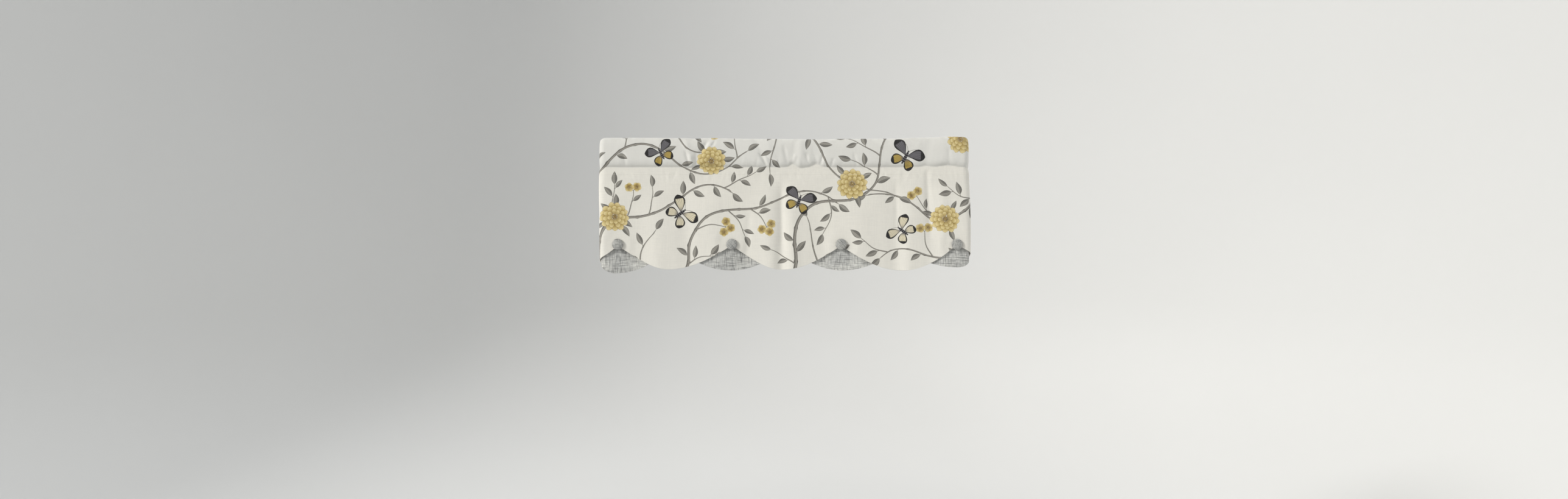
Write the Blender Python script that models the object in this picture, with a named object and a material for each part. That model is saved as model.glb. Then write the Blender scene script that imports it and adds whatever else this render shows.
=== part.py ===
"""Window valance: a printed front panel with a rod pocket, a crosshatch petticoat behind it and
four covered buttons where the scalloped hem of the front panel rises.

Metres, +Z up. The face looks along -Y and its ends wrap back along +Y to the wall. The origin is
at the middle of the top edge, where the pocket lies over its rod. A place on the cloth is given
by "run", its distance along the cloth from the middle of the face, to the right, and by z. How
far the cloth stands out from the hang plane, the plane in which it would hang dead flat, is
"stand": positive to the front, or outwards on the two ends.
"""
import math
from collections import namedtuple

import bpy

# Overall form
FACE_LEFT = -0.591
FACE_RIGHT = 0.584
END_DEPTH = 0.052
CORNER_RADIUS = 0.017
HEM_FLARE = 0.011
FLARE_FROM = 0.30
FLARE_DROP = 0.19

# Cloth
FRONT_THICKNESS = 0.0015
PETTICOAT_THICKNESS = 0.0012
GAP = 0.0003
SHARP_ANGLE = math.radians(40)

# Rod pocket
POCKET_BOTTOM = -0.0928
STITCH_LINE = -0.1133
POCKET_BULGE = 0.0090
END_FRONT_BULGE = 0.0040
END_BACK_BULGE = 0.0155
POCKET_SQUARENESS = 2.7
TOP_CORNER_RADIUS = 0.016
TOP_CORNER_DROP_SHARE = 0.65
POCKET_ANGLES = (-90, -70, -45, -15, 20, 55, 80, 100, 130, 165, 200, 240, 270)

# Folds below the pocket, by how far they have dropped from the stitch line
FOLD_FADE_DROP = 0.09
FOLD_UPPER_DROP = 0.08
FOLD_LOWER_DROP = 0.30

# Petticoat
PETTICOAT_TOP = -0.099
PETTICOAT_SLACK = 0.0035
PETTICOAT_SLACK_DROP = 0.20
PETTICOAT_WAVE = 0.0012
PETTICOAT_WAVE_LENGTH = 0.185
END_SLACK_SHARE = 0.30

# Buttons
BUTTON_RADIUS = 0.018
BUTTON_HEIGHT = 0.009
BUTTON_BACK_RADIUS = 0.0155
BUTTON_RIM = 0.0028
BUTTON_CROWN_ANGLES = (0, 22, 42, 60, 75)
BUTTON_CROWN_FULLNESS = 0.8
BUTTON_SIDES = 28
BUTTON_Z = -0.3366
BUTTON_RUNS = (-0.5349, -0.1700, 0.1798, 0.5402)
FLAT_INSIDE = 0.026
FLAT_FADE = 0.060

# Mesh steps
FACE_STEP = 0.017
CLOSEST_COLUMNS = 0.0055
NARROW_GATHER = 0.02
CORNER_STEPS = 5
END_STEPS = 2
FRONT_ROWS = 8
PETTICOAT_ROWS = 8

# Height of the top edge along the face.
TopPoint = namedtuple("TopPoint", "run z")
TOP_EDGE = (
    TopPoint(-0.650, 0.0030),
    TopPoint(-0.480, 0.0036),
    TopPoint(-0.325, 0.0026),
    TopPoint(-0.290, 0.0012),
    TopPoint(-0.250, 0.0028),
    TopPoint(-0.120, 0.0008),
    TopPoint(0.000, 0.0000),
    TopPoint(0.110, -0.0014),
    TopPoint(0.180, 0.0004),
    TopPoint(0.330, 0.0012),
    TopPoint(0.450, 0.0046),
    TopPoint(0.530, 0.0072),
    TopPoint(0.650, 0.0050),
)

# One row for each half of a scallop, from its lowest point to its highest. A straightness near
# zero is a parabola, and a larger one has a round bottom and straighter flanks.
HalfScallop = namedtuple("HalfScallop", "low_run low_z high_run high_z straightness")
FRONT_HEM = (
    HalfScallop(-0.6620, -0.4169, -0.5349, -0.3409, 3.0),
    HalfScallop(-0.3740, -0.4163, -0.5349, -0.3409, 2.0),
    HalfScallop(-0.3740, -0.4163, -0.1700, -0.3393, 1.0),
    HalfScallop(-0.0099, -0.4173, -0.1700, -0.3393, 1.8),
    HalfScallop(-0.0099, -0.4173, 0.1798, -0.3405, 1.0),
    HalfScallop(0.3745, -0.4196, 0.1798, -0.3405, 0.9),
    HalfScallop(0.3745, -0.4196, 0.5402, -0.3366, 0.4),
    HalfScallop(0.7302, -0.4196, 0.5402, -0.3366, 2.5),
)
PETTICOAT_HEM = (
    HalfScallop(-0.5450, -0.4292, -0.6390, -0.3453, 0.5),
    HalfScallop(-0.5450, -0.4292, -0.3598, -0.3453, 0.3),
    HalfScallop(-0.1716, -0.4200, -0.3598, -0.3453, 0.5),
    HalfScallop(-0.1716, -0.4200, 0.0049, -0.3453, 0.5),
    HalfScallop(0.1843, -0.4196, 0.0049, -0.3453, 0.5),
    HalfScallop(0.1843, -0.4196, 0.3680, -0.3502, 0.5),
    HalfScallop(0.5445, -0.4100, 0.3680, -0.3502, 0.3),
    HalfScallop(0.5445, -0.4100, 0.6320, -0.3450, 0.3),
)

# Soft upright folds below the pocket: how far each stands out a hand below the stitch line and
# at the hem, and how far it leans to the right for each metre of drop.
Fold = namedtuple("Fold", "run half_width upper lower lean")
FOLDS = (
    Fold(-0.560, 0.026, 0.0015, 0.0035, 0.00),
    Fold(-0.478, 0.040, -0.0020, -0.0045, 0.05),
    Fold(-0.398, 0.034, 0.0015, 0.0030, -0.04),
    Fold(-0.330, 0.026, -0.0030, -0.0035, 0.06),
    Fold(-0.245, 0.042, 0.0025, 0.0045, 0.10),
    Fold(-0.128, 0.036, -0.0015, -0.0050, 0.00),
    Fold(-0.062, 0.026, 0.0020, 0.0040, 0.05),
    Fold(-0.013, 0.017, -0.0040, -0.0060, 0.00),
    Fold(0.021, 0.020, 0.0030, 0.0050, 0.02),
    Fold(0.095, 0.040, -0.0020, -0.0040, 0.08),
    Fold(0.238, 0.045, 0.0020, 0.0050, 0.00),
    Fold(0.345, 0.028, -0.0030, -0.0050, 0.04),
    Fold(0.405, 0.026, 0.0020, 0.0040, -0.05),
    Fold(0.458, 0.020, -0.0040, -0.0025, 0.00),
    Fold(0.502, 0.018, 0.0025, 0.0030, 0.00),
)

# Gathers in the pocket's front: how far each stands out, how far its bottom is lifted, and how
# far it leans to the right for each metre of drop.
Gather = namedtuple("Gather", "run half_width stand lift lean")
GATHERS = (
    Gather(-0.520, 0.050, 0.0010, 0.0000, 0.00),
    Gather(-0.306, 0.011, 0.0030, -0.0015, 0.26),
    Gather(-0.268, 0.013, -0.0025, 0.0010, -0.50),
    Gather(-0.150, 0.040, -0.0010, 0.0000, 0.00),
    Gather(-0.072, 0.011, -0.0025, -0.0010, 0.60),
    Gather(-0.045, 0.010, 0.0015, 0.0000, 0.30),
    Gather(0.024, 0.013, -0.0015, 0.0105, 0.00),
    Gather(0.052, 0.012, 0.0025, -0.0015, 0.00),
    Gather(0.099, 0.018, -0.0020, 0.0110, 0.00),
    Gather(0.290, 0.030, 0.0010, 0.0000, 0.00),
    Gather(0.400, 0.018, -0.0015, 0.0010, 0.00),
    Gather(0.452, 0.022, -0.0020, 0.0040, 0.00),
    Gather(0.520, 0.034, 0.0010, 0.0070, 0.00),
)


def smooth(t):
    """Ease from 0 to 1 as t goes from 0 to 1."""
    t = min(1.0, max(0.0, t))
    return t * t * (3.0 - 2.0 * t)


def bell(distance, half_width):
    return math.exp(-((distance / half_width) ** 2))


CORNER_ARC = math.pi / 2 * CORNER_RADIUS
END_STRAIGHT = END_DEPTH - CORNER_RADIUS
LEFT_BEND = FACE_LEFT + CORNER_RADIUS
RIGHT_BEND = FACE_RIGHT - CORNER_RADIUS
RUN_MIN = LEFT_BEND - CORNER_ARC - END_STRAIGHT
RUN_MAX = RIGHT_BEND + CORNER_ARC + END_STRAIGHT


def past_bend(run):
    """How far a run lies past the bend at its end of the face, negative on the face."""
    return max(run - RIGHT_BEND, LEFT_BEND - run)


def plan(run, z):
    """Point of the hang plane and its outward direction, seen from above."""
    side = 1.0 if run > 0 else -1.0
    bend = RIGHT_BEND if run > 0 else LEFT_BEND
    past = past_bend(run)
    if past <= 0:
        x, y, angle = run, 0.0, 0.0
    elif past <= CORNER_ARC:
        angle = past / CORNER_RADIUS
        x = bend + side * CORNER_RADIUS * math.sin(angle)
        y = CORNER_RADIUS * (1.0 - math.cos(angle))
    else:
        angle = math.pi / 2
        x = bend + side * CORNER_RADIUS
        y = CORNER_RADIUS + past - CORNER_ARC
    flare_share = smooth((x - FLARE_FROM) / (FACE_RIGHT - FLARE_FROM))
    x += HEM_FLARE * flare_share * smooth((POCKET_BOTTOM - z) / FLARE_DROP)
    return x, y, side * math.sin(angle), -math.cos(angle)


def place(run, stand, z):
    """World position of a point that stands out from the hang plane."""
    x, y, out_x, out_y = plan(run, z)
    return x + out_x * stand, y + out_y * stand, z


def hem_height(run, scallops):
    """Height of a scalloped hem at one place along the cloth."""
    for half in scallops:
        low, high = sorted((half.low_run, half.high_run))
        if low <= run <= high:
            share = abs(run - half.low_run) / (high - low)
            k = half.straightness
            rise = math.sqrt(1.0 + (k * share) ** 2) - 1.0
            rise /= math.sqrt(1.0 + k * k) - 1.0
            return half.low_z + (half.high_z - half.low_z) * rise
    return scallops[-1].high_z


def top_height(run):
    """Height of the top edge, lowered round the two top corners."""
    for left, right in zip(TOP_EDGE, TOP_EDGE[1:]):
        if left.run <= run <= right.run:
            share = smooth((run - left.run) / (right.run - left.run))
            height = left.z + (right.z - left.z) * share
            break
    x = plan(run, 0.0)[0]
    past = max(x - FACE_RIGHT, FACE_LEFT - x) + TOP_CORNER_RADIUS
    past = min(TOP_CORNER_RADIUS, max(0.0, past))
    drop = TOP_CORNER_RADIUS - math.sqrt(TOP_CORNER_RADIUS ** 2 - past ** 2)
    return height - TOP_CORNER_DROP_SHARE * drop


def fold_stand(run, z):
    """How far the cloth below the pocket stands out, flat where the buttons are sewn on."""
    drop = STITCH_LINE - z
    if drop <= 0:
        return 0.0
    lower_share = smooth((drop - FOLD_UPPER_DROP) / (FOLD_LOWER_DROP - FOLD_UPPER_DROP))
    total = 0.0
    for fold in FOLDS:
        push = fold.upper + (fold.lower - fold.upper) * lower_share
        total += push * bell(run - fold.run - fold.lean * drop, fold.half_width)
    total *= smooth(drop / FOLD_FADE_DROP)
    for button_run in BUTTON_RUNS:
        distance = math.hypot(run - button_run, z - BUTTON_Z)
        total *= smooth((distance - FLAT_INSIDE) / (FLAT_FADE - FLAT_INSIDE))
    return total


def pocket_ring(run):
    """Middle of the pocket's cloth as (stand, z) round the rod, from the front of its bottom."""
    end_share = smooth(past_bend(run) / CORNER_ARC)
    front_bulge = POCKET_BULGE + (END_FRONT_BULGE - POCKET_BULGE) * end_share
    back_bulge = POCKET_BULGE + (END_BACK_BULGE - POCKET_BULGE) * end_share
    top = top_height(run)
    lift = sum(g.lift * bell(run - g.run, g.half_width) for g in GATHERS)
    bottom = POCKET_BOTTOM + lift * (1.0 - end_share)
    middle = (top + bottom) / 2
    half_height = (top - bottom) / 2
    power = 2.0 / POCKET_SQUARENESS
    ring = []
    for degrees in POCKET_ANGLES:
        angle = math.radians(degrees)
        out = math.cos(angle)
        up = math.sin(angle)
        z = middle + half_height * math.copysign(abs(up) ** power, up)
        centre = -FRONT_THICKNESS * smooth((degrees - 90) / 180)
        bulge = front_bulge if out > 0 else back_bulge
        stand = centre + bulge * math.copysign(abs(out) ** power, out)
        if out > 0:
            gathers = sum(
                g.stand * bell(run - g.run - g.lean * (middle - z), g.half_width) for g in GATHERS
            )
            stand += gathers * out * (1.0 - end_share)
        ring.append((stand, z))
    return ring


def offset_ring(ring, distance):
    """The ring moved outwards across the cloth by a distance."""
    moved = []
    last = len(ring) - 1
    for index, (stand, z) in enumerate(ring):
        before = ring[max(0, index - 1)]
        after = ring[min(last, index + 1)]
        along_stand, along_z = after[0] - before[0], after[1] - before[1]
        if index in (0, last):
            along_stand, along_z = (1.0, 0.0)
        length = math.hypot(along_stand, along_z)
        moved.append((stand + distance * along_z / length, z - distance * along_stand / length))
    return moved


def front_section(run):
    """Outer and inner outline of the front panel cut across at one run, as (stand, z).

    The outer outline runs up the front of the lower panel, round the outside of the pocket and
    down the back. The inner one runs round the inside of the pocket, the tunnel for the rod.
    """
    half = FRONT_THICKNESS / 2
    back_seam = -FRONT_THICKNESS - half
    ring = pocket_ring(run)
    outside = offset_ring(ring, half)
    inside = offset_ring(ring, -half)
    outside[0] = (half, outside[0][1])
    outside[-1] = (back_seam, outside[-1][1])
    half_count = POCKET_ANGLES.index(100)
    outside = [
        (max(half, stand), z) if index < half_count else (stand, z)
        for index, (stand, z) in enumerate(outside)
    ]
    hem = hem_height(run, FRONT_HEM)
    front = []
    back = []
    for row in range(FRONT_ROWS + 1):
        z = STITCH_LINE + (hem - STITCH_LINE) * row / FRONT_ROWS
        stand = fold_stand(run, z)
        front.append((stand + half, z))
        back.append((stand - half, z - GAP if row == 0 else z))
    back_stitch = (back_seam, STITCH_LINE)
    outer = list(reversed(front)) + outside + [back_stitch] + back
    return outer, inside


def petticoat_section(run):
    """Outline of the petticoat cut across at one run, up its front and down its back."""
    half = PETTICOAT_THICKNESS / 2
    seam = -1.5 * FRONT_THICKNESS - GAP - half
    hem = hem_height(run, PETTICOAT_HEM)
    wave = PETTICOAT_WAVE * math.sin(2.0 * math.pi * run / PETTICOAT_WAVE_LENGTH)
    end_share = smooth(past_bend(run) / CORNER_ARC)
    slack = (PETTICOAT_SLACK + wave) * (1.0 - (1.0 - END_SLACK_SHARE) * end_share)
    front = []
    back = []
    for row in range(PETTICOAT_ROWS + 1):
        z = STITCH_LINE + (hem - STITCH_LINE) * (row - 1) / (PETTICOAT_ROWS - 1)
        if row == 0:
            z = PETTICOAT_TOP
        hang = smooth((STITCH_LINE - z) / PETTICOAT_SLACK_DROP)
        stand = seam + fold_stand(run, z) - slack * hang
        front.append((stand + half, z))
        back.append((stand - half, z))
    return list(reversed(front)) + back


def cloth_runs():
    """Places along the cloth where it is cut across: even steps, the hem's points, the gathers."""
    wanted = []
    for half in FRONT_HEM + PETTICOAT_HEM:
        wanted += [half.low_run, half.high_run]
    for gather in GATHERS:
        if gather.half_width < NARROW_GATHER:
            wanted += [gather.run, gather.run - gather.half_width, gather.run + gather.half_width]
    wanted = sorted(run for run in set(wanted) if LEFT_BEND < run < RIGHT_BEND)
    kept = [LEFT_BEND]
    for run in wanted:
        if run - kept[-1] > CLOSEST_COLUMNS and RIGHT_BEND - run > CLOSEST_COLUMNS:
            kept.append(run)
    kept.append(RIGHT_BEND)
    face = []
    for left, right in zip(kept, kept[1:]):
        count = max(1, round((right - left) / FACE_STEP))
        face += [left + (right - left) * step / count for step in range(count)]
    face.append(RIGHT_BEND)
    corner = [CORNER_ARC * step / CORNER_STEPS for step in range(1, CORNER_STEPS + 1)]
    end = [CORNER_ARC + END_STRAIGHT * step / END_STEPS for step in range(1, END_STEPS + 1)]
    wrapped = corner + end
    return [LEFT_BEND - past for past in reversed(wrapped)] + face + [RIGHT_BEND + p for p in wrapped]


def add_object(name, verts, faces, material):
    mesh = bpy.data.meshes.new(name)
    mesh.from_pydata(verts, [], faces)
    mesh.materials.append(material)
    mesh.shade_smooth()
    mesh.set_sharp_from_angle(angle=SHARP_ANGLE)
    mesh.update()
    obj = bpy.data.objects.new(name, mesh)
    bpy.context.scene.collection.objects.link(obj)
    return obj


def add_loop_strips(verts, faces, runs, outlines, inward):
    """Skin a closed outline that is repeated at each run. Returns the first vertex of each."""
    starts = []
    for run, outline in zip(runs, outlines):
        starts.append(len(verts))
        verts += [place(run, stand, z) for stand, z in outline]
    count = len(outlines[0])
    for left, right in zip(starts, starts[1:]):
        for index in range(count):
            after = (index + 1) % count
            quad = (left + index, right + index, right + after, left + after)
            faces.append(tuple(reversed(quad)) if inward else quad)
    return starts


def make_front_panel(material):
    """The printed panel, one piece with its pocket, wrapped ends and scalloped hem."""
    runs = cloth_runs()
    sections = [front_section(run) for run in runs]
    verts, faces = [], []
    outer = add_loop_strips(verts, faces, runs, [s[0] for s in sections], inward=False)
    inner = add_loop_strips(verts, faces, runs, [s[1] for s in sections], inward=True)
    lower = FRONT_ROWS + 1
    ring = len(POCKET_ANGLES)
    for end, outward in ((0, False), (-1, True)):
        o, i = outer[end], inner[end]
        back_stitch = o + lower + ring
        cap = []
        for row in range(FRONT_ROWS):
            front = o + FRONT_ROWS - row
            back = back_stitch + 1 + row
            cap.append((front, back, back + 1, front - 1))
        cap.append((o + lower, o + lower + ring - 1, back_stitch, back_stitch + 1, o + FRONT_ROWS))
        cap.append((o + lower, i, i + ring - 1, o + lower + ring - 1))
        for index in range(ring - 1):
            cap.append((o + lower + index, o + lower + index + 1, i + index + 1, i + index))
        faces += [tuple(reversed(face)) if outward else face for face in cap]
    return add_object("front_panel", verts, faces, material)


def make_petticoat(material):
    """The crosshatch panel that hangs behind the front one from the pocket's stitch line."""
    runs = cloth_runs()
    verts, faces = [], []
    starts = add_loop_strips(verts, faces, runs, [petticoat_section(r) for r in runs], inward=False)
    last = 2 * PETTICOAT_ROWS + 1
    for end, outward in ((0, False), (-1, True)):
        start = starts[end]
        for row in range(PETTICOAT_ROWS):
            cap = (start + row, start + row + 1, start + last - row - 1, start + last - row)
            faces.append(tuple(reversed(cap)) if outward else cap)
    return add_object("petticoat", verts, faces, material)


def button_profile():
    """Half outline of a covered button as (radius, height), from its flat back to its crown."""
    profile = [(BUTTON_BACK_RADIUS, 0.0), ((BUTTON_BACK_RADIUS + BUTTON_RADIUS) / 2, BUTTON_RIM / 3)]
    for degrees in BUTTON_CROWN_ANGLES:
        angle = math.radians(degrees)
        crown = BUTTON_RIM + (BUTTON_HEIGHT - BUTTON_RIM) * math.sin(angle)
        profile.append((BUTTON_RADIUS * math.cos(angle) ** BUTTON_CROWN_FULLNESS, crown))
    return profile


def make_button(number, run, material):
    """A domed button sewn flat on the front panel."""
    verts, faces = [], []
    profile = button_profile()
    for radius, height in profile:
        for side in range(BUTTON_SIDES):
            turn = 2.0 * math.pi * side / BUTTON_SIDES
            verts.append((radius * math.cos(turn), -height, radius * math.sin(turn)))
    for ring in range(len(profile) - 1):
        for side in range(BUTTON_SIDES):
            after = (side + 1) % BUTTON_SIDES
            low, high = ring * BUTTON_SIDES, (ring + 1) * BUTTON_SIDES
            faces.append((low + side, low + after, high + after, high + side))
    crown = len(verts)
    verts.append((0.0, -BUTTON_HEIGHT, 0.0))
    top_ring = (len(profile) - 1) * BUTTON_SIDES
    faces.append(tuple(reversed(range(BUTTON_SIDES))))
    for side in range(BUTTON_SIDES):
        faces.append((top_ring + side, top_ring + (side + 1) % BUTTON_SIDES, crown))
    button = add_object(f"button_{number}", verts, faces, material)
    button.location = place(run, FRONT_THICKNESS / 2 + GAP, BUTTON_Z)
    return button


def make_material(name, colour, roughness):
    material = bpy.data.materials.new(name)
    material.use_nodes = True
    shader = material.node_tree.nodes["Principled BSDF"]
    shader.inputs["Base Color"].default_value = (*colour, 1.0)
    shader.inputs["Roughness"].default_value = roughness
    shader.inputs["Metallic"].default_value = 0.0
    return material


def main():
    for old in list(bpy.data.objects):
        bpy.data.objects.remove(old, do_unlink=True)
    printed = make_material("printed_cream_cloth", (0.75, 0.73, 0.66), 0.9)
    crosshatch = make_material("crosshatch_cloth", (0.42, 0.42, 0.40), 0.9)
    make_front_panel(printed)
    make_petticoat(crosshatch)
    for number, run in enumerate(BUTTON_RUNS, start=1):
        make_button(number, run, crosshatch)


main()
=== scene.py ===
import math
import random
from collections import namedtuple
from functools import partial, partialmethod

import bpy
import numpy as np
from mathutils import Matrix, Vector
from mathutils.geometry import delaunay_2d_cdt


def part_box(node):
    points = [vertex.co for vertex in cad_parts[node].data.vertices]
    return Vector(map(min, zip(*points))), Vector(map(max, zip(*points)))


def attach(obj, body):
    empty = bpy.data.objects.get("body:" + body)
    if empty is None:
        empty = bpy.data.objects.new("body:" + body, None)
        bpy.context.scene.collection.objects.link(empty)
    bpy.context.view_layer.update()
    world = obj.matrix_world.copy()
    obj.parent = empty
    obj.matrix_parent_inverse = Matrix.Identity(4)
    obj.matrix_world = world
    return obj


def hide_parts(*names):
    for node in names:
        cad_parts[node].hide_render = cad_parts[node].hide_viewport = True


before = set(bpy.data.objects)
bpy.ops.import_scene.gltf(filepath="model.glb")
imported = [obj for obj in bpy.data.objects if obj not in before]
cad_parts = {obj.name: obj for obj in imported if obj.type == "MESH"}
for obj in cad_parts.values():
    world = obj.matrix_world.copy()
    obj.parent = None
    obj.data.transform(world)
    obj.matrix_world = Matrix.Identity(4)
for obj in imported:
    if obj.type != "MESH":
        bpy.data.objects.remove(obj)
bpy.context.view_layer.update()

BODY = "root"


def table(columns, *rows):
    """Rows of numbers, each with the names of its columns."""
    Row = namedtuple("Row", columns)
    return [Row(*row) for row in rows]


# ---------------------------------------------------------------- the hanging form, as in the part

FACE_LEFT = -0.591
FACE_RIGHT = 0.584
END_DEPTH = 0.052
CORNER_RADIUS = 0.017
HEM_FLARE = 0.011
FLARE_FROM = 0.30
FLARE_DROP = 0.19

FRONT_THICKNESS = 0.0015
PETTICOAT_THICKNESS = 0.0012
GAP = 0.0003

POCKET_BOTTOM = -0.0928
STITCH_LINE = -0.1133
POCKET_BULGE = 0.0090
END_FRONT_BULGE = 0.0040
END_BACK_BULGE = 0.0155
POCKET_SQUARENESS = 2.7
TOP_CORNER_RADIUS = 0.016
TOP_CORNER_DROP_SHARE = 0.65

FOLD_FADE_DROP = 0.09
FOLD_UPPER_DROP = 0.08
FOLD_LOWER_DROP = 0.30

PETTICOAT_TOP = -0.099
PETTICOAT_SLACK = 0.0035
PETTICOAT_SLACK_DROP = 0.20
PETTICOAT_WAVE = 0.0012
PETTICOAT_WAVE_LENGTH = 0.185
END_SLACK_SHARE = 0.30

BUTTON_RADIUS = 0.018
BUTTON_HEIGHT = 0.009
BUTTON_BACK_RADIUS = 0.0155
BUTTON_RIM = 0.0028
BUTTON_Z = -0.3366
BUTTON_RUNS = (-0.5349, -0.1700, 0.1798, 0.5402)
FLAT_INSIDE = 0.026
FLAT_FADE = 0.060

TOP_EDGE = table(
    "run z",
    (-0.650, 0.0030),
    (-0.480, 0.0036),
    (-0.325, 0.0026),
    (-0.290, 0.0012),
    (-0.250, 0.0028),
    (-0.120, 0.0008),
    (0.000, 0.0000),
    (0.110, -0.0014),
    (0.180, 0.0004),
    (0.330, 0.0012),
    (0.450, 0.0046),
    (0.530, 0.0072),
    (0.650, 0.0050),
)

# One row for each half of a scallop, from its lowest point to its highest.
SCALLOP_COLUMNS = "low_run low_z high_run high_z straightness"
FRONT_HEM = table(
    SCALLOP_COLUMNS,
    (-0.6620, -0.4169, -0.5349, -0.3409, 3.0),
    (-0.3740, -0.4163, -0.5349, -0.3409, 2.0),
    (-0.3740, -0.4163, -0.1700, -0.3393, 1.0),
    (-0.0099, -0.4173, -0.1700, -0.3393, 1.8),
    (-0.0099, -0.4173, 0.1798, -0.3405, 1.0),
    (0.3745, -0.4196, 0.1798, -0.3405, 0.9),
    (0.3745, -0.4196, 0.5402, -0.3366, 0.4),
    (0.7302, -0.4196, 0.5402, -0.3366, 2.5),
)
PETTICOAT_HEM = table(
    SCALLOP_COLUMNS,
    (-0.5450, -0.4292, -0.6390, -0.3453, 0.5),
    (-0.5450, -0.4292, -0.3598, -0.3453, 0.3),
    (-0.1716, -0.4200, -0.3598, -0.3453, 0.5),
    (-0.1716, -0.4200, 0.0049, -0.3453, 0.5),
    (0.1843, -0.4196, 0.0049, -0.3453, 0.5),
    (0.1843, -0.4196, 0.3680, -0.3502, 0.5),
    (0.5445, -0.4100, 0.3680, -0.3502, 0.3),
    (0.5445, -0.4100, 0.6320, -0.3450, 0.3),
)

FOLDS = table(
    "run half_width upper lower lean",
    (-0.560, 0.026, 0.0015, 0.0035, 0.00),
    (-0.478, 0.040, -0.0020, -0.0045, 0.05),
    (-0.398, 0.034, 0.0015, 0.0030, -0.04),
    (-0.330, 0.026, -0.0030, -0.0035, 0.06),
    (-0.245, 0.042, 0.0025, 0.0045, 0.10),
    (-0.128, 0.036, -0.0015, -0.0050, 0.00),
    (-0.062, 0.026, 0.0020, 0.0040, 0.05),
    (-0.013, 0.017, -0.0040, -0.0060, 0.00),
    (0.021, 0.020, 0.0030, 0.0050, 0.02),
    (0.095, 0.040, -0.0020, -0.0040, 0.08),
    (0.238, 0.045, 0.0020, 0.0050, 0.00),
    (0.345, 0.028, -0.0030, -0.0050, 0.04),
    (0.405, 0.026, 0.0020, 0.0040, -0.05),
    (0.458, 0.020, -0.0040, -0.0025, 0.00),
    (0.502, 0.018, 0.0025, 0.0030, 0.00),
)

GATHERS = table(
    "run half_width stand lift lean",
    (-0.520, 0.050, 0.0010, 0.0000, 0.00),
    (-0.306, 0.011, 0.0030, -0.0015, 0.26),
    (-0.268, 0.013, -0.0025, 0.0010, -0.50),
    (-0.150, 0.040, -0.0010, 0.0000, 0.00),
    (-0.072, 0.011, -0.0025, -0.0010, 0.60),
    (-0.045, 0.010, 0.0015, 0.0000, 0.30),
    (0.024, 0.013, -0.0015, 0.0105, 0.00),
    (0.052, 0.012, 0.0025, -0.0015, 0.00),
    (0.099, 0.018, -0.0020, 0.0110, 0.00),
    (0.290, 0.030, 0.0010, 0.0000, 0.00),
    (0.400, 0.018, -0.0015, 0.0010, 0.00),
    (0.452, 0.022, -0.0020, 0.0040, 0.00),
    (0.520, 0.034, 0.0010, 0.0070, 0.00),
)

# ---------------------------------------------------------------- finer form, only in this scene

# Soft creases in the pocket and the upper panel, each a trough between two places, or a ridge
# where depth is negative.
CREASES = table(
    "run_a z_a run_b z_b half_width depth",
    (-0.3200, -0.030, -0.3030, -0.093, 0.0054, 0.0034),
    (-0.3060, -0.046, -0.2930, -0.093, 0.0055, -0.0026),
    (-0.2830, -0.030, -0.2860, -0.088, 0.0060, 0.0021),
    (-0.2440, -0.004, -0.2760, -0.054, 0.0058, 0.0034),
    (-0.2310, -0.003, -0.2540, -0.040, 0.0054, -0.0022),
    (-0.2200, -0.002, -0.2340, -0.026, 0.0040, 0.0025),
    (-0.0850, -0.040, -0.0540, -0.093, 0.0046, 0.0044),
    (-0.0680, -0.050, -0.0440, -0.093, 0.0036, -0.0033),
    (-0.0520, -0.056, -0.0320, -0.093, 0.0034, 0.0036),
    (-0.0300, -0.062, -0.0220, -0.092, 0.0036, -0.0025),
    (-0.0060, -0.012, 0.0100, -0.090, 0.0060, 0.0029),
    (0.0350, -0.046, 0.0260, -0.080, 0.0050, -0.0021),
    (0.0640, -0.040, 0.0800, -0.088, 0.0050, 0.0033),
    (0.1240, -0.044, 0.1120, -0.088, 0.0046, 0.0029),
    (0.1560, -0.058, 0.1480, -0.092, 0.0048, 0.0022),
    (0.2180, -0.040, 0.2320, -0.093, 0.0056, 0.0026),
    (0.3540, -0.110, 0.3600, -0.330, 0.0090, 0.0020),
    (0.4530, -0.022, 0.4600, -0.330, 0.0082, 0.0027),
    (0.5210, -0.020, 0.5270, -0.091, 0.0070, 0.0020),
    (-0.0120, -0.125, -0.0090, -0.380, 0.0090, 0.0023),
    (-0.1120, -0.210, -0.1260, -0.380, 0.0110, 0.0017),
    (-0.3980, -0.050, -0.4060, -0.092, 0.0060, 0.0021),
    (-0.5220, -0.030, -0.5060, -0.091, 0.0065, 0.0025),
    (0.4010, -0.048, 0.3960, -0.090, 0.0050, 0.0021),
)

# How far each end hangs out past its plain form, at some distances below the hanging point.
END_SPREAD = table(
    "drop left right",
    (-0.010, 0.0016, 0.0033),
    (0.084, 0.0018, 0.0036),
    (0.106, 0.0078, 0.0086),
    (0.150, 0.0084, 0.0084),
    (0.200, 0.0078, 0.0060),
    (0.240, 0.0066, 0.0044),
    (0.330, 0.0064, 0.0040),
    (0.430, 0.0040, 0.0030),
)
SPREAD_DROPS, SPREAD_LEFT, SPREAD_RIGHT = zip(*END_SPREAD)
SPREAD_FROM = 0.012

# The pocket's front falls back to the hang plane in a soft slope at its bottom, a little higher
# than in the part.
POCKET_PULL = 0.0030
BOTTOM_FALL = 5.5

# Creases fade in and out over these shares of their length.
CREASE_FADE_IN = 0.35
CREASE_FADE_OUT = 0.25

# Uneven small relief: puckers at the stitch line, tucks at the pocket's top and bottom and wide
# shallow swells. They vary within these shares of their stand and half width, and in their lean.
RELIEF_SEED = 41
STAND_SHARES = (0.3, 1.0)
WIDTH_SHARES = (0.7, 1.4)
LEANS = (-0.5, 0.5)
PUCKERS = 74
PUCKER_STAND = 0.00065
PUCKER_HALF_WIDTH = 0.0052
PUCKER_REACH = 0.020
TOP_TUCK_COUNT = 46
BOTTOM_TUCK_COUNT = 92
TUCK_STAND = 0.00100
TOP_TUCK_HALF_WIDTH = 0.0075
BOTTOM_TUCK_HALF_WIDTH = 0.00525
TUCK_REACH = 0.028
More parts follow.
